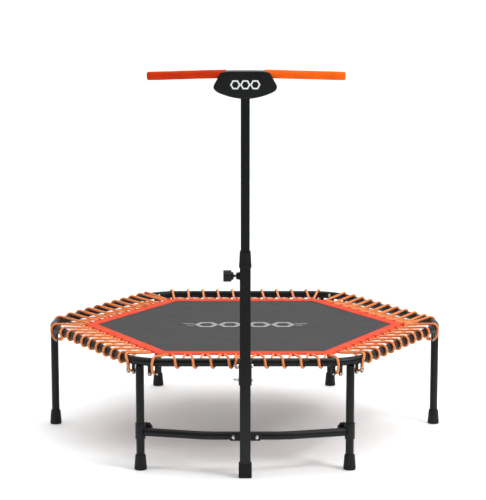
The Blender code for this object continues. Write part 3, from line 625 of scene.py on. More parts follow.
# ---------------------------------------------------------------- ring tubes, anchors, legs, feet
def ring_segment(k):
    k2 = (k + 1) % 6
    n, t = side_axes(k)
    n2, t2 = side_axes(k2)
    name = CORNER_NAMES[k]
    N = 36
    pts = []
    a0, _ = on_tube(k, JOINT_S + 0.0003)
    centre = C0 + n * (APOTHEM - BEND_R) + t * S0 + Vector((0, 0, FRAME_Z))
    path = [(a0, n)]
    s1, _ = on_tube(k, S0)
    for i in range(37):
        f = radians(60) * i / 36
        d = n * cos(f) + t * sin(f)
        path.append((centre + d * BEND_R, d))
    b0, _ = on_tube(k2, JOINT_S)
    path.append((b0, n2))
    b = Builder()
    outer = []
    lip = 0.0009
    st = path[0][0]
    outer.append(ring(st, n, UP, TUBE_R - lip, N))
    outer.append(ring(st + t * lip * 0.3, n, UP, TUBE_R - lip * 0.3, N))
    outer.append(ring(st + t * lip, n, UP, TUBE_R, N))
    for c, nn in path[1:-1]:
        outer.append(ring(c, nn, UP, TUBE_R, N))
    en = path[-1][0]
    outer.append(ring(en - t2 * lip, n2, UP, TUBE_R, N))
    outer.append(ring(en - t2 * lip * 0.3, n2, UP, TUBE_R - lip * 0.3, N))
    outer.append(ring(en, n2, UP, TUBE_R - lip, N))
    outer.append(ring(en + t2 * 0.0002, n2, UP, TUBE_R - TUBE_WALL - 0.0004, N))
    outer.append(ring(en + t2 * 0.034, n2, UP, TUBE_R - TUBE_WALL - 0.0004, N))
    inner = [ring(en + t2 * 0.034, n2, UP, 0.0091, N), ring(en - t2 * 0.002, n2, UP, 0.0091, N), ring(en - t2 * 0.01, n2, UP, TUBE_R - TUBE_WALL, N)]
    for c, nn in reversed(path[1:-1]):
        inner.append(ring(c, nn, UP, TUBE_R - TUBE_WALL, N))
    inner.append(ring(st, n, UP, TUBE_R - TUBE_WALL, N))
    b.loft(outer + inner, loop=True)
    seg = b.obj("ring_tube_" + name, M["frame"], "frame", ["frame_segment_" + name], "frame_steel")

    # leg stub weld and leg
    cd = radians(-60 + 60 * k)
    radial = Vector((cos(cd), sin(cd), 0))
    foot = C0 + radial * LEG_R
    m = frame_of(foot, UP, radial)
    b = Builder()
    prof = fillet([(0.0110, 0.006), (TUBE_R, 0.0056), (TUBE_R, 0.3190), (0.0110, 0.3190), (0.0110, 0.006)], 0.0005, 2)
    lathe(b, prof[:-1], 40, m, loop=True)
    b.obj("leg_tube_" + name, M["leg"], "frame", ["leg_" + name], "leg_steel")
    # weld fillet where the stub meets the ring, just above the leg's mouth
    b = Builder()
    pts = []
    for i in range(40):
        a = 2 * pi * i / 40
        x, y = 0.0119 * cos(a), 0.0119 * sin(a)
        zz = FRAME_Z - math.sqrt(max(0.0, TUBE_R ** 2 - x * x)) + 0.0003
        pts.append(m @ Vector((x, y, max(0.3197, min(zz, FRAME_Z - 0.004)))))
    bead(b, pts, 0.0013 , 8, closed=True)
    b.obj("leg_weld_" + name, M["frame"], "frame", (), "frame_steel", sharp=60)

    # rubber foot: ribbed bell with a thick sole
    b = Builder()
    prof = fillet([(0.0002, 0.0), (0.0178, 0.0, 0.001), (0.0190, 0.0022, 0.0015), (0.0187, 0.0085, 0.002), (0.0177, 0.0200, 0.006),
                   (0.0165, 0.0370, 0.004), (0.0153, 0.0455, 0.001), (0.0146, 0.0462, 0.0006), (0.0128, 0.0462, 0.0004), (0.0128, 0.0052, 0.0003), (0.0002, 0.0052)], 0.001, 4)

    def ribs(r, z, a):
        if 0.006 < z < 0.040 and r > 0.0145:
            w = min(1.0, (z - 0.006) / 0.006, (0.040 - z) / 0.006)
            return r + w * (0.00045 * (0.5 + 0.5 * cos(16 * a)) - 0.0004)
        if z < 0.001 and r > 0.004:
            return r
        return r
    lathe(b, prof, 96, m, ribs)
    b.obj("foot_bell_" + name, M["foot"], "frame", ["foot_" + name], "foot_rubber", sharp=50)

    # the screw that holds the leg's stub, on the inner side of the bend
    c, nn = on_tube(k, S0 + BEND_R * 0.5)
    b = Builder()
    lathe(b, [(0.0002, -0.001), (0.0052, -0.0006), (0.0054, 0.0004), (0.0051, 0.0012), (0.0040, 0.0024), (0.0026, 0.0030), (0.0022, 0.0030), (0.0018, 0.0018), (0.0002, 0.0018)], 28,
          frame_of(c - nn * (TUBE_R - 0.0003) + Vector((0, 0, 0.001)), -nn, UP))
    b.obj("leg_screw_" + name, M["zinc"], "frame", (), "zinc_fastener")

    # rope anchors: two ears and a rivet on each
    for kk, s, tag in ((k, EARS[k][1], "a"), (k2, EARS[k2][0], "b")):
        c, nn = on_tube(kk, s)
        tt = UP.cross(nn)
        fm = Matrix((tt, UP, nn)).transposed().to_4x4()      # x along the ring, y up, z outward
        fm.translation = Vector((c.x, c.y, 0))
        b, rv, wd = Builder(), Builder(), Builder()
        for d in (-1, 1):
            x0, x1 = d * 0.0112 - 0.006, d * 0.0112 + 0.006
            out = fillet([(x0, EAR_Z, 0.003), (x1, EAR_Z, 0.003), (x1, 0.3225, 0.0002), (x0, 0.3225, 0.0002)], 0.003, 5, closed=True)
            plate(b, out, fm, 0.0006, 0.0036, 0.0004)
            rm = frame_of(fm @ Vector((d * 0.0112, 0.2970, 0.0036)), nn, UP)
            lathe(rv, [(0.0034, -0.0002), (0.0034, 0.0004), (0.0031, 0.0011), (0.0022, 0.0018), (0.0010, 0.0021), (0.0002, 0.0022)], 20, rm)
            pts = [fm @ Vector((x0 + (x1 - x0) * q / 8, FRAME_Z - math.sqrt(TUBE_R ** 2 - 0.0042 ** 2), 0.0042)) for q in range(9)]
            bead(wd, pts, 0.0012, 8)
        b.obj("anchor_ears_%s_%s" % (name, tag), M["frame"], "frame", (), "frame_steel")
        rv.obj("anchor_rivets_%s_%s" % (name, tag), M["zinc"], "frame", (), "zinc_fastener")
        wd.obj("anchor_weld_%s_%s" % (name, tag), M["frame"], "frame", (), "frame_steel", sharp=60)
    return seg


# ---------------------------------------------------------------- ropes
def loop_s(k, i):
    return LACING[k][0] + LACING[k][1] * i


def wrap_s(k, i):
    if k == 0 and i == 4:
        return -0.0290
    return LACING[k][2] + LACING[k][3] * i


def anchor(k, s):
    c, n = on_tube(k, s)
    p = lambda d, z: Vector((c.x, c.y, 0)) + n * d + Vector((0, 0, z))
    return [p(0.0160, 0.3220), p(0.0138, 0.3120), p(0.0090, 0.3035), p(0.0030, 0.2987), p(-0.0060, 0.2975),
            p(-0.0100, 0.2975), p(-0.0130, 0.2974), p(-0.0165, 0.2972), p(-0.0190, 0.2971), p(-0.0225, 0.2970)]


KNOT = [1.0, 1.0, 1.0, 1.0, 1.0, 1.45, 1.75, 1.7, 1.3, 1.0]


def rope_points(k):
    pts, rad = [], []
    under, way = LACING[k][4:]
    first, last = sorted(way * e for e in EARS[k])

    def add(p, r=1.0):
        pts.append(p)
        rad.append(r)

    def arc(s0, s1, d0, d1, n):
        for j in range(n + 1):
            f = j / n
            add(on_wrap(k, way * (s0 + (s1 - s0) * f), d0 + (d1 - d0) * f))

    def edge(s, n, dz=0.0):
        add(in_mat(k, way * s, n, MAT_Z + dz))

    for p, r in zip(reversed(anchor(k, way * first)), reversed(KNOT)):
        add(p, r)
    arc(first + 0.0005, first + 0.004, 0, 98, 9)
    enter = -0.2460 if k == 0 else loop_s(k, 0) - 0.0170
    edge(enter, ROPE_N + 0.014, 0.0012)
    edge(enter, ROPE_N + 0.004)
    edge(enter + 0.0042, ROPE_N)
    for i in range(LOOPS):
        s, w = loop_s(k, i), wrap_s(k, i)
        root = s - 0.0055 if k == 0 and i == 4 else s
        edge(root - 0.0046, ROPE_N)
        edge(root - 0.0016, ROPE_N + 0.0025)
        edge(root - 0.0002, ROPE_N + 0.006)
        if i == LOOPS - 1:
            top = root + (last - root) * 0.62
            edge(root + (top - root) * 0.15, ROPE_N + 0.014, 0.0014)
            arc(top, last, 99, 0, 9)
            for p, r in zip(anchor(k, way * last), KNOT):
                add(p, r)
            break
        back = loop_s(k, i + 1) - (0.0225 if (k == 0 and i + 1 == 4) else 0.0170)
        if under:
            edge(root + (w - 0.010 - root) * 0.13, ROPE_N + 0.014, -0.0016)
            arc(w - 0.010, w, -104, -20, 8)
            arc(w, w - 0.007, -8, 99, 9)
            edge(back + (w - 0.007 - back) * 0.15, ROPE_N + 0.014, 0.0014)
        else:
            top = root + (w - root) * 0.62
            edge(root + (top - root) * 0.15, ROPE_N + 0.014, 0.0014)
            arc(top, w, 99, -22, 9)
            arc(w, w + 0.0075, -34, -104, 6)
            edge(back - (back - w - 0.0075) * 0.13, ROPE_N + 0.014, -0.0016)
        edge(back + 0.0003, ROPE_N + 0.004)
        edge(back + 0.0042, ROPE_N)
    return pts, rad


ROPE_LEN = {}


def braid(acc, a):
    u = acc / (2 * ROPE_R)
    s1, s2 = sin(u * 7.5 + 5 * a), sin(u * 7.5 - 5 * a)
    return 1.0 + 0.028 * (max(s1, s2) - 0.35)


def rope(k):
    pts, rad = rope_points(k)
    pts, rad = chaikin(pts, 2, rad)
    pts, rad = resample(pts, 0.0024, rad)
    b = Builder()
    length = sweep(b, pts, [ROPE_R * 0.99 * r for r in rad], 16, uv_scale=1 / (2 * ROPE_R), relief=braid)
    ROPE_LEN[k] = length
    ob = b.obj("rope_cord_" + SIDE_NAMES[k], M["rope"], None, ["rope_" + SIDE_NAMES[k]], "rope_cord", sharp=180)
    n, t = side_axes(k)
    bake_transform(ob)
    return ob


# ---------------------------------------------------------------- mat, border, loops, stitching
def mat_sheet():
    """Woven sheet, hexagonal, pulled flat. Fine grid with the faint waves of stretched cloth."""
    flat = MAT_FLAT + 0.0140
    R = flat / cos(radians(30))
    b = Builder()
    rings = []
    steps = 44

    def hexring(f, z):
        pts = []
        for i in range(6):
            p, q = radians(60 * i), radians(60 * (i + 1))
            P, Q = Vector((cos(p), sin(p), 0)) * R * f, Vector((cos(q), sin(q), 0)) * R * f
            for j in range(24):
                w = P.lerp(Q, j / 24)
                edge = 1 - f
                wave = 0.00045 * sin(w.x * 37 + 1.3 * sin(w.y * 21)) * min(1, edge * 8) + 0.0003 * sin(w.y * 51 + w.x * 9) * min(1, edge * 8)
                pts.append(C0 + Vector((w.x, w.y, z + wave)))
        return pts

    for i in range(steps):
        rings.append(hexring(0.002 + 0.998 * i / (steps - 1), MAT_Z + 0.0007))
    low = [hexring(0.002 + 0.998 * i / (steps - 1), MAT_Z - 0.0007) for i in reversed(range(steps))]
    b.loft(rings + low)
    ob = b.obj("mat_cloth", M["mat"], "mat", ["mat"], "mat_weave", sharp=60, uvmap=lambda p: (p.x, p.y))
    return ob, flat


def band():
    """Doubled webbing round the mat, mitred at the corners, with softened edges."""
    b = Builder()
    lip = ROPE_N - 0.0050
    h = 0.0023
    sec = fillet([(MAT_FLAT, -h), (lip, -h), (lip, h), (MAT_FLAT, h)], 0.0012, 4, closed=True)
    # a shallow crease down the stitch lines
    dens = []
    for (n0, z0), (n1, z1) in zip(sec, sec[1:] + sec[:1]):
        cnt = max(1, int(abs(n1 - n0) / 0.0022))
        for j in range(cnt):
            n, z = n0 + (n1 - n0) * j / cnt, z0 + (z1 - z0) * j / cnt
            dip = 0.0
            for c in (MAT_FLAT + 0.0045, MAT_FLAT + 0.0105, lip - 0.0045):
                dip += math.exp(-((n - c) / 0.0011) ** 2)
            if abs(z) > h * 0.9:
                z -= math.copysign(0.00045 * dip, z)
                z += math.copysign(0.0003 * sin((n - MAT_FLAT) / (lip - MAT_FLAT) * pi), z)
            dens.append((n, z))
    per = 40
    rings, us = [], []
    for k in range(6):
        for j in range(per):
            f = j / per
            r = []
            for n, z in dens:
                e = n * tan(radians(30))
                s = -e + 2 * e * f
                ripple = 0.00035 * sin(s * 118 + k) * max(0.0, (n - MAT_FLAT - 0.01) / 0.03)
                r.append(in_mat(k, s, n, MAT_Z + z + ripple))
            rings.append(r)
            us.append(k * 0.5 + f * 0.5)
    b.loft(rings, loop=True)

    def uvmap(p):
        q = p - C0
        best = max(range(6), key=lambda k: side_axes(k)[0].dot(q))
        n, t = side_axes(best)
        return (t.dot(q), n.dot(q) + p.z)
    ob = b.obj("border_band", M["web"], "mat", ["mat_border"], "border_webbing", sharp=60, uvmap=uvmap)
    # stitches: short raised threads in three rows, top and bottom
    st = Builder()
    for k in range(6):
        n, t = side_axes(k)
        for row in (MAT_FLAT + 0.0045, MAT_FLAT + 0.0105, lip - 0.0045):
            e = row * tan(radians(30)) - 0.003
            cnt = int(2 * e / 0.0058)
            for j in range(cnt):
                s = -e + 2 * e * (j + 0.5) / cnt
                for sg in (1, -1):
                    z = sg * (h + 0.0001)
                    pts = [in_mat(k, s + q * 0.0019, row, MAT_Z + z - sg * 0.00035 * abs(q) ** 2) for q in (-1, -0.5, 0, 0.5, 1)]
                    sweep(st, pts, [0.00015, 0.0004, 0.00046, 0.0004, 0.00015], 6)
    stitches = st.obj("border_stitches", M["thread"], "mat", (), "border_webbing", sharp=180)
    # rope loops: a strip folded round the rope and sewn into the border
    lp = Builder()
    for k in range(6):
        for i in range(LOOPS):
            shift = 0.0055 if (k == 0 and i == 4) else 0.0
            way = LACING[k][5]
            lo, hi = sorted((way * (loop_s(k, i) - 0.0128 - shift), way * (loop_s(k, i) - 0.0042 - shift)))
            path = []
            rr = ROPE_R + 0.0009
            for j in range(15):
                a = radians(128 - 256 * j / 14)
                path.append((ROPE_N + rr * cos(a), rr * sin(a)))
            path = [(lip - 0.0100, h + 0.0006), (lip - 0.004, h + 0.0010), (lip - 0.0010, h + 0.0014)] + path + \
                   [(lip - 0.0010, -h - 0.0014), (lip - 0.004, -h - 0.0010), (lip - 0.0100, -h - 0.0006)]
            path2 = [Vector((p[0], p[1], 0)) for p in path]
            path2, _ = chaikin(path2, 1)
            th = 0.0006
            rings = []
            for q, p in enumerate(path2):
                a = path2[max(0, q - 1)]
                c = path2[min(len(path2) - 1, q + 1)]
                d = (c - a).normalized()
                nn = Vector((-d.y, d.x, 0))
                sec2 = []
                for (ss, tt) in rrect(hi - lo, 2 * th, 0.0005, 2):
                    sec2.append(in_mat(k, (lo + hi) / 2 + ss, p.x + nn.x * tt, MAT_Z + p.y + nn.y * tt))
                rings.append(sec2)
            lp.loft(rings)
    loops = lp.obj("border_loops", M["web"], "mat", (), "border_webbing", sharp=50, uvmap=uvmap)
    return ob, stitches, loops


def hexagon(cx, cy, r, sx=1.0, sy=1.0, turn=0.0):
    return [(cx + sx * r * cos(radians(60 * i + turn)), cy + sy * r * sin(radians(60 * i + turn))) for i in range(6)]


def ring_mark(b, m, cx, cy, r, w, sx, sy, z, th):
    """Hexagonal ring printed on a face."""
    o, i = hexagon(cx, cy, r, sx, sy), hexagon(cx, cy, r - w, sx, sy)
    rings = [[m @ Vector((x, y, z)) for x, y in o], [m @ Vector((x, y, z + th)) for x, y in o],
             [m @ Vector((x, y, z + th)) for x, y in i], [m @ Vector((x, y, z)) for x, y in i]]
    b.loft(rings, loop=True)


def mat_mark():
    b = Builder()
    m = Matrix.Translation(C0 + Vector((0, 0.0, MAT_Z)))
    z, th = 0.0011, 0.0005
    for cx in (-0.126, 0.126, -0.048, 0.048):
        ring_mark(b, m, cx, -0.005, 0.042, 0.0165, 0.95, 1.12, z, th)
    for x0, x1, y in ((-0.205, -0.166, 0.010), (0.166, 0.205, 0.010), (-0.190, -0.166, -0.018), (0.166, 0.190, -0.018)):
        plate(b, [(x0, y - 0.004), (x1, y - 0.004), (x1, y + 0.004), (x0, y + 0.004)], m, z, z + th, 0.0001)
    return b.obj("mat_mark", M["ink"], "mat", (), None, sharp=30)


# ---------------------------------------------------------------- upright
PM = Matrix.Translation(Vector((0, PY, 0)))


def square_loft(b, profile, w_in=None, rad=0.0028):
    """profile: (half width, z) points outside; w_in: (half width, z) points inside, from top down."""
    rings = []
    for a, z in profile:
        rings.append([PM @ Vector((x, y, z)) for x, y in rrect(2 * a, 2 * a, rad)])
    if w_in:
        for a, z in w_in:
            rings.append([PM @ Vector((x, y, z)) for x, y in rrect(2 * a, 2 * a, max(0.0006, rad - 0.0018))])
        b.loft(rings, loop=True)
    else:
        b.loft(rings)
    return b


def cut(ob, tools):
    """Drill holes with the exact solver; the tools are removed."""
    for t in tools:
        mod = ob.modifiers.new("b", "BOOLEAN")
        mod.operation, mod.object, mod.solver = "DIFFERENCE", t, "EXACT"
    deps = bpy.context.evaluated_depsgraph_get()
    me = bpy.data.meshes.new_from_object(ob.evaluated_get(deps))
    ob.modifiers.clear()
    ob.data = me
    for t in tools:
        bpy.data.objects.remove(t, do_unlink=True)
    me.shade_smooth()
    me.set_sharp_from_angle(angle=radians(38))
    return ob


def drill(origin, axis, r, z0, z1, n=28):
    b = Builder()
    lathe(b, [(r, z0), (r, z1)], n, frame_of(origin, axis))
    return b.obj("drill", M["frame"], None)


def upright():
    h = 0.016
    lo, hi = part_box("lower_pole")
    b = Builder()
    e = 0.0006
    square_loft(b, [(h - e, 0.0046), (h, 0.0052), (h, 0.6614), (h - e, 0.6620)], [(h - 0.002, 0.6620), (h - 0.002, 0.0046)])
    ob = b.obj("lower_tube", M["pole"], None, ["lower_pole"], "pole_steel")
    cut(ob, [drill(Vector((0, PY, LOCK_Z)), (-1, 0, 0), 0.0042, 0.012, 0.02)])
    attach(ob, "frame")

    # boss with its weld
    L = Vector((0, PY, LOCK_Z))
    m = frame_of(L, (-1, 0, 0))
    b = Builder()
    lathe(b, fillet([(0.0063, 0.0161), (0.0106, 0.0161), (0.0105, 0.0262, 0.001), (0.0063, 0.0262, 0.0005), (0.0063, 0.0161)], 0.0006, 3)[:-1], 48, m, loop=True)
    b.obj("lock_boss", M["pole"], "frame", (), "pole_steel")
    b = Builder()
    bead(b, [m @ Vector((0.0108 * cos(2 * pi * i / 40), 0.0108 * sin(2 * pi * i / 40), 0.0166 + 0.0002 * sin(i * 2.4))) for i in range(40)], 0.0013, 8, closed=True)
    b.obj("lock_boss_weld", M["pole"], "frame", (), "pole_steel", sharp=60)

    # cheeks and brace plate
    for name, sx in (("left", -1), ("right", 1)):
        b = Builder()
        fm = Matrix(((0, 0, sx, sx * (h + 0.0001)), (1, 0, 0, 0), (0, 1, 0, 0), (0, 0, 0, 1)))
        y0, y1 = PY - 0.006, mid("bracket_bolt_upper").y + 0.0075
        out = fillet([(y0, 0.277, 0.003), (y1, 0.277, 0.007), (y1, 0.345, 0.007), (y0, 0.345, 0.003)], 0.004, 6, closed=True)
        plate(b, out, fm, 0.0, 0.0029, 0.0005)
        b.obj("cheek_" + name, M["pole"], "frame", (), "pole_steel")
        b = Builder()
        bead(b, [Vector((sx * (h + 0.0003), PY - 0.0062, 0.280 + 0.062 * q / 14)) for q in range(15)], 0.0011, 8)
        b.obj("cheek_weld_" + name, M["pole"], "frame", (), "pole_steel", sharp=60)
    b = Builder()
    fm = Matrix(((1, 0, 0, 0), (0, 0, -1, PY + h + 0.0030), (0, 1, 0, BRACE_Z), (0, 0, 0, 1)))
    out = fillet([(-0.0455, -0.0118), (0.0455, -0.0118), (0.0455, 0.0118), (-0.0455, 0.0118)], 0.004, 6, closed=True)
    plate(b, out, fm, 0.0, 0.0035, 0.0005)
    b.obj("brace_plate", M["pole"], "frame", (), "pole_steel")
    b = Builder()
    for sx in (-1, 1):
        bead(b, [Vector((sx * (h + 0.0004), PY + h - 0.0006, BRACE_Z - 0.0105 + 0.021 * q / 10)) for q in range(11)], 0.0014, 8)
    b.obj("brace_plate_weld", M["pole"], "frame", (), "pole_steel", sharp=60)

    # foot cap with a flared rim and tread grooves
    b = Builder()
    c = 0.0195
    square_loft(b, [(c - 0.0012, 0.0), (c - 0.0003, 0.0009), (c, 0.0022), (c, 0.0085), (c - 0.0006, 0.0092), (c - 0.0006, 0.0110), (c, 0.0117),
                    (c, 0.0385), (c - 0.0003, 0.0398), (c - 0.0012, 0.041), (h + 0.0003, 0.041), (h + 0.0003, 0.0042)], rad=0.0042)
    b.obj("pole_foot_cap", M["polefoot"], "frame", ["pole_foot"], "pole_foot_rubber")

    # collar: skirt, shoulder and lip
    b = Builder()
    g = 0.0003
    square_loft(b, [(0.0178, 0.6280), (0.0182, 0.6284), (0.0182, 0.6370), (0.0179, 0.6378), (0.0176, 0.6400), (0.0163, 0.6690), (0.0159, 0.6730), (0.0154, 0.6748), (0.0148, 0.6750)],
                [(0.0133, 0.6750), (0.0133, 0.6624), (0.0163, 0.6624), (0.0163, 0.6280)], rad=0.0040)
    b.obj("collar_bush", M["collar"], "frame", ["pole_collar"], "collar_plastic")

    # upper pole with its five lock holes
    b = Builder()
    w = 0.013
    lo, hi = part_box("upper_pole")
    square_loft(b, [(w - 0.0005, lo.z), (w, lo.z + 0.0006), (w, hi.z)], [(w - 0.0015, hi.z), (w - 0.0015, lo.z)], rad=0.0026)
    ob = b.obj("upper_tube", M["pole"], None, ["upper_pole"], "pole_steel")
    cut(ob, [drill(Vector((0, PY, LOCK_Z + 0.083 * j)), (-1, 0, 0), 0.0031, 0.009, 0.016) for j in (-2, -1, 0, 1, 2)])
    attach(ob, "handle")

    # lock: necked bush, pin, spring, fluted knob
    b = Builder()
    lathe(b, fillet([(0.0040, h + 0.0009), (0.0060, h + 0.0009), (0.0060, 0.0262), (0.0045, 0.0266), (0.0045, 0.0448), (0.0041, 0.0450), (0.0028, 0.0450), (0.0028, 0.0300),
                     (0.0040, 0.0300), (0.0040, h + 0.0009)], 0.0002, 1)[:-1], 36, m, loop=True)
    b.obj("bush_body", M["bush"], "lock_bush", ["lock_bush"], "bush_steel")
    b = Builder()
    lathe(b, fillet([(0.0002, 0.0135), (0.0024, 0.0135, 0.0006), (0.0024, 0.0174), (0.0035, 0.0174), (0.0035, 0.0190), (0.0024, 0.0190), (0.0024, 0.0598), (0.0002, 0.0598)], 0.0002, 2), 32, m)
    b.obj("pin_body", M["bush"], "lock_pin", ["lock_pin"], "pin_steel")
    b = Builder()
    turns, per = 5, 28
    pts = []
    for j in range(turns * per + 1):
        a = 2 * pi * j / per
        pts.append(m @ Vector((0.0032 * cos(a), 0.0032 * sin(a), 0.0196 + 0.0098 * j / (turns * per))))
    sweep(b, pts, [0.0003] * len(pts), 8)
    sp = b.obj("spring_coil", M["bush"], "lock_bush", ["lock_spring"], "pin_steel", sharp=180)
    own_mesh(sp)
    b = Builder()

    def flutes(r, z, a, n=14):
        if r > 0.0145:
            w = max(0.0, min(1.0, (z - 0.0412) / 0.0012, (0.0634 - z) / 0.0012))
            return r - 0.0011 * w * (0.5 + 0.5 * cos(n * a)) ** 2
        return r
    prof = fillet([(0.0049, 0.0340), (0.0112, 0.0340, 0.0008), (0.0116, 0.0372, 0.0006), (0.0116, 0.0392, 0.0004), (0.0155, 0.0402, 0.001), (0.0169, 0.0414, 0.0010),
                   (0.0170, 0.0430, 0.0004), (0.0170, 0.0620, 0.0012), (0.0160, 0.0638, 0.0010), (0.0120, 0.0638, 0.0006), (0.0112, 0.0632, 0.0006), (0.0002, 0.0632)], 0.0008, 4)
    lathe(b, prof + [(0.0002, 0.0600), (0.0027, 0.0600), (0.0027, 0.0465), (0.0049, 0.0465)], 168, m, flutes, loop=True)
    b.obj("knob_body", M["knob"], "lock_pin", ["lock_knob"], "knob_plastic", sharp=45)


def hexhead(b, m, r, z0, z1, n=6):
    """Hexagon head with a washer face and chamfered top."""
    rings = []
    for rr, z, k in ((r * 0.96, z0, 1), (r, z0 + 0.0003, 1), (r, z1 - 0.0009, 1), (r * 0.80, z1, 0)):
        pts = []
        for i in range(48):
            a = 2 * pi * i / 48
            hexr = r * cos(pi / 6) / cos((a % (pi / 3)) - pi / 6)
            pts.append(m @ Vector((min(rr, hexr) * cos(a) if k == 0 else hexr * rr / r * cos(a), min(rr, hexr) * sin(a) if k == 0 else hexr * rr / r * sin(a), z)))
        rings.append(pts)
    b.loft(rings)


def threaded(b, m, r, z0, z1, n=24, pitch=0.0010):
    """Screw shank with real thread ridges."""
    rings = []
    steps = max(4, int((z1 - z0) / (pitch / 6)))
    for j in range(steps + 1):
        z = z0 + (z1 - z0) * j / steps
        ring_ = []
        for i in range(n):
            a = 2 * pi * i / n
            rr = r - 0.00035 * (0.5 + 0.5 * cos(2 * pi * z / pitch - a))
            if j in (0, steps):
                rr = r * 0.8
            ring_.append(m @ Vector((rr * cos(a), rr * sin(a), z)))
        rings.append(ring_)
    b.loft(rings)


def bracket():
    by = mid("bracket_bolt_upper").y
    lo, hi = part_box("pole_bracket")
    b = Builder()
    # U channel, open towards the upright, with rounded outer bends
    x, t = hi.x, 0.003
    y0, y1 = lo.y, hi.y
    out = [(-x, y0), (-x, y1, 0.004), (x, y1, 0.004), (x, y0), (x - t, y0), (x - t, y1 - t, 0.0015), (-x + t, y1 - t, 0.0015), (-x + t, y0)]
    outline = fillet([(p[0], p[1], p[2] if len(p) > 2 else 0.0004) for p in out], 0.0004, 5, closed=True)
    rings = [[Vector((q[0], q[1], z)) for q in outline] for z in (lo.z, hi.z)]
    b.loft(rings)
    ob = b.obj("bracket_channel", M["frame"], None, ["pole_bracket"], "pole_steel")
    cut(ob, [drill(Vector((0, by, z)), (1, 0, 0), 0.0034, -0.03, 0.03) for z in (mid("bracket_bolt_upper").z, mid("bracket_bolt_lower").z)])
    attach(ob, "frame")
    b = Builder()
    for sx in (-1, 1):
        bead(b, [Vector((sx * 0.0125, y1 + 0.0001, z)) for z in np.linspace(0.3235, 0.3405, 9)], 0.0013, 8)
    b.obj("bracket_weld", M["frame"], "frame", (), "frame_steel", sharp=60)
    for name in ("upper", "lower"):
        z = mid("bracket_bolt_" + name).z
        m = frame_of((0, by, z), (1, 0, 0))
        o = 0.0193
        b = Builder()
        threaded(b, m, 0.0030, -0.0345, o + 0.0002)
        hexhead(b, m, 0.0058, o, o + 0.0045)
        b.obj("bolt_bracket_" + name, M["zinc"], "frame", ["bracket_bolt_" + name], "zinc_fastener", sharp=30)
        b = Builder()
        hexhead(b, frame_of((0, by, z), (-1, 0, 0)), 0.0058, o, o + 0.0052)
        b.obj("nut_bracket_" + name, M["zinc"], "frame", ["bracket_nut_" + name], "zinc_fastener", sharp=30)


# ---------------------------------------------------------------- handle
RISE = math.atan2(0.0068, 0.246)


def bar_line(x):
    ax = abs(x)
    return BAR_C + Vector((x, 0, -max(0.0, ax - 0.03) * tan(RISE)))


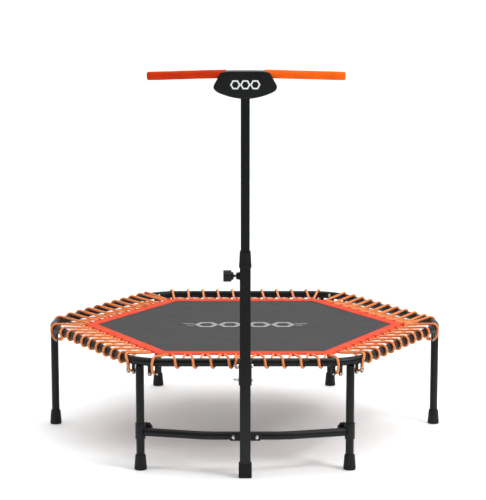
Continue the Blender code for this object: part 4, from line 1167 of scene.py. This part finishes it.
def handle():
    fwd = Vector((0, 1, 0))
    b = Builder()
    pts = [bar_line(x) for x in (-0.276, -0.2, -0.1, -0.045, -0.034, -0.026, -0.015, 0, 0.015, 0.026, 0.034, 0.045, 0.1, 0.2, 0.276)]
    o = [ring(p, fwd, UP, 0.010, 40) for p in pts]
    i = [ring(p, fwd, UP, 0.0085, 40) for p in reversed(pts)]
    b.loft(o + i, loop=True)
    b.obj("bar_tube", M["bar"], "handle", ["handle_bar"], "bar_steel")
    b = Builder()
    bead(b, [Vector((0.0128 * max(-1, min(1, 1.35 * cos(a))), PY + 0.0128 * max(-1, min(1, 1.35 * sin(a))) * 0.72, BAR_C.z - 0.0100 + 0.0042 * abs(sin(a)) ** 2)) for a in [2 * pi * q / 40 for q in range(40)]], 0.0012, 8, closed=True)
    b.obj("bar_weld", M["pole"], "handle", (), "pole_steel", sharp=60)
    for side, sg in (("left", -1), ("right", 1)):
        a0, a1 = bar_line(sg * 0.054), bar_line(0.2865 if sg > 0 else -0.281)
        d = a1 - a0
        L = d.length
        m = frame_of(a0, d, fwd)
        R = 0.0122
        prof = fillet([(0.0103, 0.0003), (R - 0.0003, 0.0, 0.0008), (R, 0.004, 0.001), (R, L - 0.0004, 0.0062), (0.0002, L)], 0.001, 8)
        dense = []
        for p, q in zip(prof, prof[1:]):
            cnt = max(1, int(math.dist(p, q) / 0.004))
            dense += [(p[0] + (q[0] - p[0]) * j / cnt, p[1] + (q[1] - p[1]) * j / cnt) for j in range(cnt)]
        dense.append(prof[-1])
        end = (bar_line(sg * 0.276) - a0).length + 0.0004
        dense += [(0.0002, end), (0.0103, end)]

        def soft(r, z, a):
            if r < 0.0115:
                return r
            return r + 0.00012 * sin(z * 90 + 2 * a) + 0.0001 * sin(z * 37 - a * 3)
        b = Builder()
        lathe(b, dense, 56, m, soft, loop=True)
        # the left grip takes the painted-shade foam and the right the painted-light foam
        g = b.obj("grip_foam_" + side, M["foam_l" if sg < 0 else "foam_r"], "handle", ["handle_grip_" + side], "grip_foam_" + side, sharp=50)

    # joint cover, two shells with a crowned face
    half_outline = [(0.0, 1.1150), (0.020, 1.1163), (0.043, 1.1208), (0.065, 1.1278), (0.080, 1.1342), (0.088, 1.1405),
                    (0.0915, 1.1485), (0.0893, 1.1560), (0.0845, 1.1632), (0.0765, 1.1785), (0.0715, 1.1880), (0.0660, 1.1915), (0.0480, 1.1940)]
    half = [Vector((p[0], p[1], 0)) for p in half_outline]
    half, _ = chaikin(half, 2)
    outline = [(p.x, p.y) for p in half] + [(-p.x, p.y) for p in reversed(half[1:])]
    outline, _ = resample([Vector((x, z, 0)) for x, z in outline + outline[:1]], 0.0028)
    outline = [(p.x, p.y) for p in outline[:-1]]
    cen = Vector((0, 1.1550))

    def inset(poly, d):
        out = []
        n = len(poly)
        for j in range(n):
            p0, p1, p2 = Vector(poly[j - 2]), Vector(poly[j]), Vector(poly[(j + 2) % n])
            e = (p2 - p0).normalized()
            out.append(p1 + Vector((-e.y, e.x)) * d)
        return out

    marks = Builder()
    for name, sg in (("front", -1), ("rear", 1)):
        face, seam, inner_y = PY + sg * 0.0172, PY + sg * 0.0003, PY + sg * 0.0146
        b = Builder()
        rings = []
        # outer side: seam lip, straight wall, rounded shoulder
        for d, y in ((0.0, seam), (0.0, PY + sg * 0.0128)):
            rings.append([(p, y) for p in inset(outline, d)])
        for q in range(1, 9):
            a = radians(90 * q / 8)
            rings.append([(p, PY + sg * (0.0128 + 0.0036 * sin(a))) for p in inset(outline, 0.0040 * (1 - cos(a)))])
        # crowned face towards the middle
        base = inset(outline, 0.0040)
        for q in range(1, 13):
            f = 1 - q / 13
            rings.append([(cen + (p - cen) * (0.02 + 0.98 * f), PY + sg * (0.0164 + 0.0008 * (1 - f ** 2))) for p in base])
        out_rings = [[Vector((p[0], y, p[1])) for p, y in r] for r in rings]
        inn = []
        ibase = inset(outline, 0.0024)
        for f, y in [(0.02, inner_y)] + [(0.02 + 0.98 * q / 6, inner_y) for q in range(1, 7)] + [(1.0, seam)]:
            inn.append([Vector(((cen + (p - cen) * f)[0], y, (cen + (p - cen) * f)[1])) for p in ibase])
        b.loft(out_rings)          # closed solid outside, capped; the inside is cut after
        b.v, b.f, b.uv = [], [], []
        b.loft(out_rings + inn, loop=True)
        ob = b.obj("cover_shell_" + name, M["cover"], None, ["handle_cover_" + name], "cover_plastic", sharp=45)
        tools = []
        bx = Builder()
        plate(bx, [(-0.0140, 1.10), (0.0140, 1.10), (0.0140, 1.1495), (-0.0140, 1.1495)], Matrix(((1, 0, 0, 0), (0, 0, 1, PY), (0, 1, 0, 0), (0, 0, 0, 1))), -0.0142, 0.0142, 0.0001)
        tools.append(bx.obj("tool", M["cover"], None))
        for s2 in (-1, 1):
            a0 = bar_line(s2 * 0.040)
            bb = Builder()
            lathe(bb, [(0.0127, 0.0), (0.0127, 0.07)], 40, frame_of(a0, bar_line(s2 * 0.2) - a0, fwd))
            tools.append(bb.obj("tool", M["cover"], None))
        bx = Builder()
        plate(bx, [(-0.0475, 1.180), (0.0475, 1.180), (0.0475, 1.21), (-0.0475, 1.21)], Matrix(((1, 0, 0, 0), (0, 0, 1, PY), (0, 1, 0, 0), (0, 0, 0, 1))), -0.0130, 0.0130, 0.0001)
        tools.append(bx.obj("tool", M["cover"], None))
        cut(ob, tools)
        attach(ob, "handle")
    # generic mark: three hexagonal rings
    fm = Matrix(((1, 0, 0, 0), (0, 0, -1, PY - 0.0172), (0, 1, 0, 0), (0, 0, 0, 1)))
    for cx in (-0.0285, 0.0, 0.0285):
        ring_mark(marks, fm, cx, 1.1560, 0.0148, 0.0048, 1.0, 1.0, -0.0003, 0.0005)
    marks.obj("cover_mark", M["ink2"], "handle", (), None, sharp=30)


# ---------------------------------------------------------------- brace
def brace():
    yb = mid("front_brace").y
    lo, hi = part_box("front_brace")
    yb = lo.y + 0.0125 * cos(radians(18))
    leg_r = C0 + Vector((cos(radians(-60)), sin(radians(-60)), 0)) * LEG_R
    bend = 0.1175
    left, right = Vector((-leg_r.x, leg_r.y, BRACE_Z)), Vector((leg_r.x, leg_r.y, BRACE_Z))
    a, c = Vector((-bend, yb, BRACE_Z)), Vector((bend, yb, BRACE_Z))
    dl, dr = (a - left).normalized(), (right - c).normalized()
    pts = [left + dl * 0.0148]
    for j in range(6):
        pts.append(left.lerp(a, 0.12 + 0.12 * j))
    corner = [a - dl * 0.030, a, a + Vector((0.030, 0, 0))]
    bez = lambda p, t: p[0] * (1 - t) ** 2 + p[1] * (2 * t * (1 - t)) + p[2] * t * t
    pts += [bez(corner, t / 10) for t in range(11)]
    pts += [Vector((x, yb, BRACE_Z)) for x in (-0.05, 0.0, 0.05)]
    corner = [c - Vector((0.030, 0, 0)), c, c + dr * 0.030]
    pts += [bez(corner, t / 10) for t in range(11)]
    for j in range(6):
        pts.append(right.lerp(c, 0.72 - 0.12 * j))
    pts.append(right - dr * 0.0148)
    b = Builder()
    sweep(b, pts, [TUBE_R] * len(pts), 36)
    b.obj("brace_tube", M["brace"], "frame", ["front_brace"], "brace_steel")
    for name, ang in (("left", 240), ("right", -60)):
        r = Vector((cos(radians(ang)), sin(radians(ang)), 0))
        foot = C0 + r * LEG_R
        m = frame_of(foot, UP, r)
        b = Builder()
        prof = fillet([(0.0128, 0.094), (0.0152, 0.094, 0.0008), (0.0152, 0.143, 0.0008), (0.0128, 0.143, 0.0004), (0.0128, 0.094)], 0.0006, 3)[:-1]
        lathe(b, prof, 56, m, loop=True)
        o = Vector((foot.x, foot.y, CLAMP_Z))
        mi = frame_of(o, -r)
        lathe(b, fillet([(0.0045, 0.0146), (0.0070, 0.0146), (0.0068, 0.0235, 0.0008), (0.0045, 0.0235, 0.0004), (0.0045, 0.0146)], 0.0004, 2)[:-1], 36, mi, loop=True)
        b.obj("sleeve_" + name, M["brace"], "frame", ["brace_sleeve_" + name], "brace_steel")
        b = Builder()
        bead(b, [mi @ Vector((0.0071 * cos(2 * pi * i / 32), 0.0071 * sin(2 * pi * i / 32), 0.0152 + 0.0012 * (sin(2 * pi * i / 32) ** 2))) for i in range(32)], 0.0012, 8, closed=True)
        d = dl if name == "left" else -dr
        side = UP.cross(d)
        o2 = Vector((foot.x, foot.y, BRACE_Z)) + d * 0.0158
        bead(b, [o2 + side * (0.0124 * cos(2 * pi * i / 36)) + UP * (0.0124 * sin(2 * pi * i / 36)) - d * (0.0052 * cos(2 * pi * i / 36) ** 2) for i in range(36)], 0.0014, 8, closed=True)
        b.obj("sleeve_weld_" + name, M["brace"], "frame", (), "brace_steel", sharp=60)
        # clamp knob: steel stud, moulded lobed head
        b = Builder()

        def lobes(rr, z, a):
            if rr > 0.0135:
                return rr - 0.0016 * (0.5 + 0.5 * cos(8 * a)) ** 2 * min(1.0, max(0.0, (z - 0.027) / 0.002))
            return rr
        prof = fillet([(0.0002, 0.0255), (0.0080, 0.0255, 0.001), (0.0100, 0.0262, 0.001), (0.0120, 0.0280, 0.001), (0.0172, 0.0290, 0.0015), (0.0182, 0.0308, 0.0012), (0.0182, 0.0418, 0.0018),
                       (0.0165, 0.0438, 0.0015), (0.0100, 0.0440, 0.001), (0.0090, 0.0432, 0.0008), (0.0002, 0.0432)], 0.001, 4)
        lathe(b, prof, 144, mi, lobes)
        kn = b.obj("clamp_head_" + name, M["knob"], "clamp_knob_" + name, ["clamp_knob_" + name], "knob_plastic", sharp=45)
        b = Builder()
        threaded(b, mi, 0.0040, 0.0133, 0.0262, 28, 0.00125)
        b.obj("clamp_stud_" + name, M["zinc"], "clamp_knob_" + name, (), "zinc_fastener", sharp=30)
    for name, sx in (("left", -1), ("right", 1)):
        z = mid("brace_bolt_" + name).z
        m = frame_of((sx * 0.034, 0, z), (0, -1, 0))
        lo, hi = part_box("brace_bolt_" + name)
        front = -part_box("lower_pole")[1].y
        plate_front = -(PY + 0.016 - 0.0005)
        b = Builder()
        threaded(b, m, 0.0030, -hi.y, plate_front)
        fz = plate_front + 0.0001
        lathe(b, [(0.0002, fz), (0.0060, fz), (0.0062, fz + 0.0003), (0.0061, fz + 0.0009), (0.0054, fz + 0.0021), (0.0042, fz + 0.0031), (0.0026, fz + 0.0037), (0.0010, fz + 0.0039), (0.0002, fz + 0.0039)], 40, m)
        b.obj("bolt_brace_" + name, M["zinc"], "frame", ["brace_bolt_" + name], "zinc_fastener", sharp=30)
        nl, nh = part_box("brace_nut_" + name)
        b = Builder()
        hexhead(b, frame_of((sx * 0.034, 0, z), (0, 1, 0)), 0.0058, nl.y, nh.y)
        b.obj("nut_brace_" + name, M["zinc"], "frame", ["brace_nut_" + name], "zinc_fastener", sharp=30)


# ---------------------------------------------------------------- camera first
cam = bpy.data.objects.new("camera", bpy.data.cameras.new("camera"))
bpy.context.scene.collection.objects.link(cam)
bpy.context.scene.camera = cam
cam.data.sensor_width, cam.data.lens = 36.0, 119.98
cam.data.clip_end = 200
cam.location = (-0.01437, -5.3929 + C0.y, 1.41357)
cam.rotation_euler = (radians(90) - 0.152947, 0.0, -0.00166)

for k in range(6):
    ring_segment(k)
    rope(k)
cloth, flat = mat_sheet()
border, stitches, loops = band()
mark = mat_mark()
2 * flat / cos(radians(30))
upright()
bracket()
handle()
brace()
print("rope lengths", {SIDE_NAMES[k]: round(v, 3) for k, v in ROPE_LEN.items()})

# ---------------------------------------------------------------- floor, world, light
fb = Builder()
S = 30.0
fb.v = [(-S, -S, -0.0002), (S, -S, -0.0002), (S, S, -0.0002), (-S, S, -0.0002)]
fb.f = [(0, 1, 2, 3)]
fb.uv = [None]
n = Nodes("floor_look")
g = n.noise(3.0, 4.0)
# painted light: the floor glows faintly, though it is no lamp, to lift the shadow under the trampoline; its slightly
# cyan tone offsets the red light bounced from the border
n.set(Emission_Color=(1.0, 1.0, 1.0, 1.0), Emission_Strength=0.14)
floor = fb.obj("floor", n.out(n.ramp(g, (0.3, (0.865, 0.91, 0.914)), (0.7, (0.88, 0.925, 0.929))), n.rng(g, 0.75, 0.85)), None)

# a studio with a white wall behind the object and a dimmer room in front of it
world = bpy.data.worlds.new("studio")
bpy.context.scene.world = world
world.use_nodes = True
wt = world.node_tree
bg = wt.nodes["Background"]
tc, sep, mr, rp = (wt.nodes.new("ShaderNode" + x) for x in ("TexCoord", "SeparateXYZ", "MapRange", "ValToRGB"))
wt.links.new(tc.outputs["Generated"], sep.inputs[0])
wt.links.new(sep.outputs[1], mr.inputs["Value"])
mr.inputs["From Min"].default_value, mr.inputs["From Max"].default_value = -0.35, 0.75
wt.links.new(mr.outputs["Result"], rp.inputs["Fac"])
rp.color_ramp.elements[0].color = (0.20, 0.20, 0.20, 1)
rp.color_ramp.elements[1].color = (1.0, 1.0, 1.0, 1)
wt.links.new(rp.outputs["Color"], bg.inputs["Color"])
bg.inputs["Strength"].default_value = 1.05


def area(name, loc, target, size, power, color=(1, 1, 1)):
    li = bpy.data.lights.new(name, "AREA")
    li.shape, li.size, li.size_y, li.energy, li.color = "RECTANGLE", size[0], size[1], power, color
    o = bpy.data.objects.new(name, li)
    bpy.context.scene.collection.objects.link(o)
    o.location = loc
    o.rotation_euler = (Vector(target) - Vector(loc)).to_track_quat("-Z", "Y").to_euler()
    return o


area("key", (2.4, -1.7, 3.0), (0, 0, 0.5), (1.2, 0.9), 75)
area("strip", (-2.4, -1.2, 1.8), (0, 0, 0.5), (0.5, 1.8), 8)
sun = bpy.data.lights.new("overhead", "SUN")
sun.energy, sun.angle = 1.7, radians(50)
so = bpy.data.objects.new("overhead", sun)
bpy.context.scene.collection.objects.link(so)
so.rotation_euler = (radians(-8), radians(4), 0)
bpy.context.scene.view_settings.view_transform = "Standard"
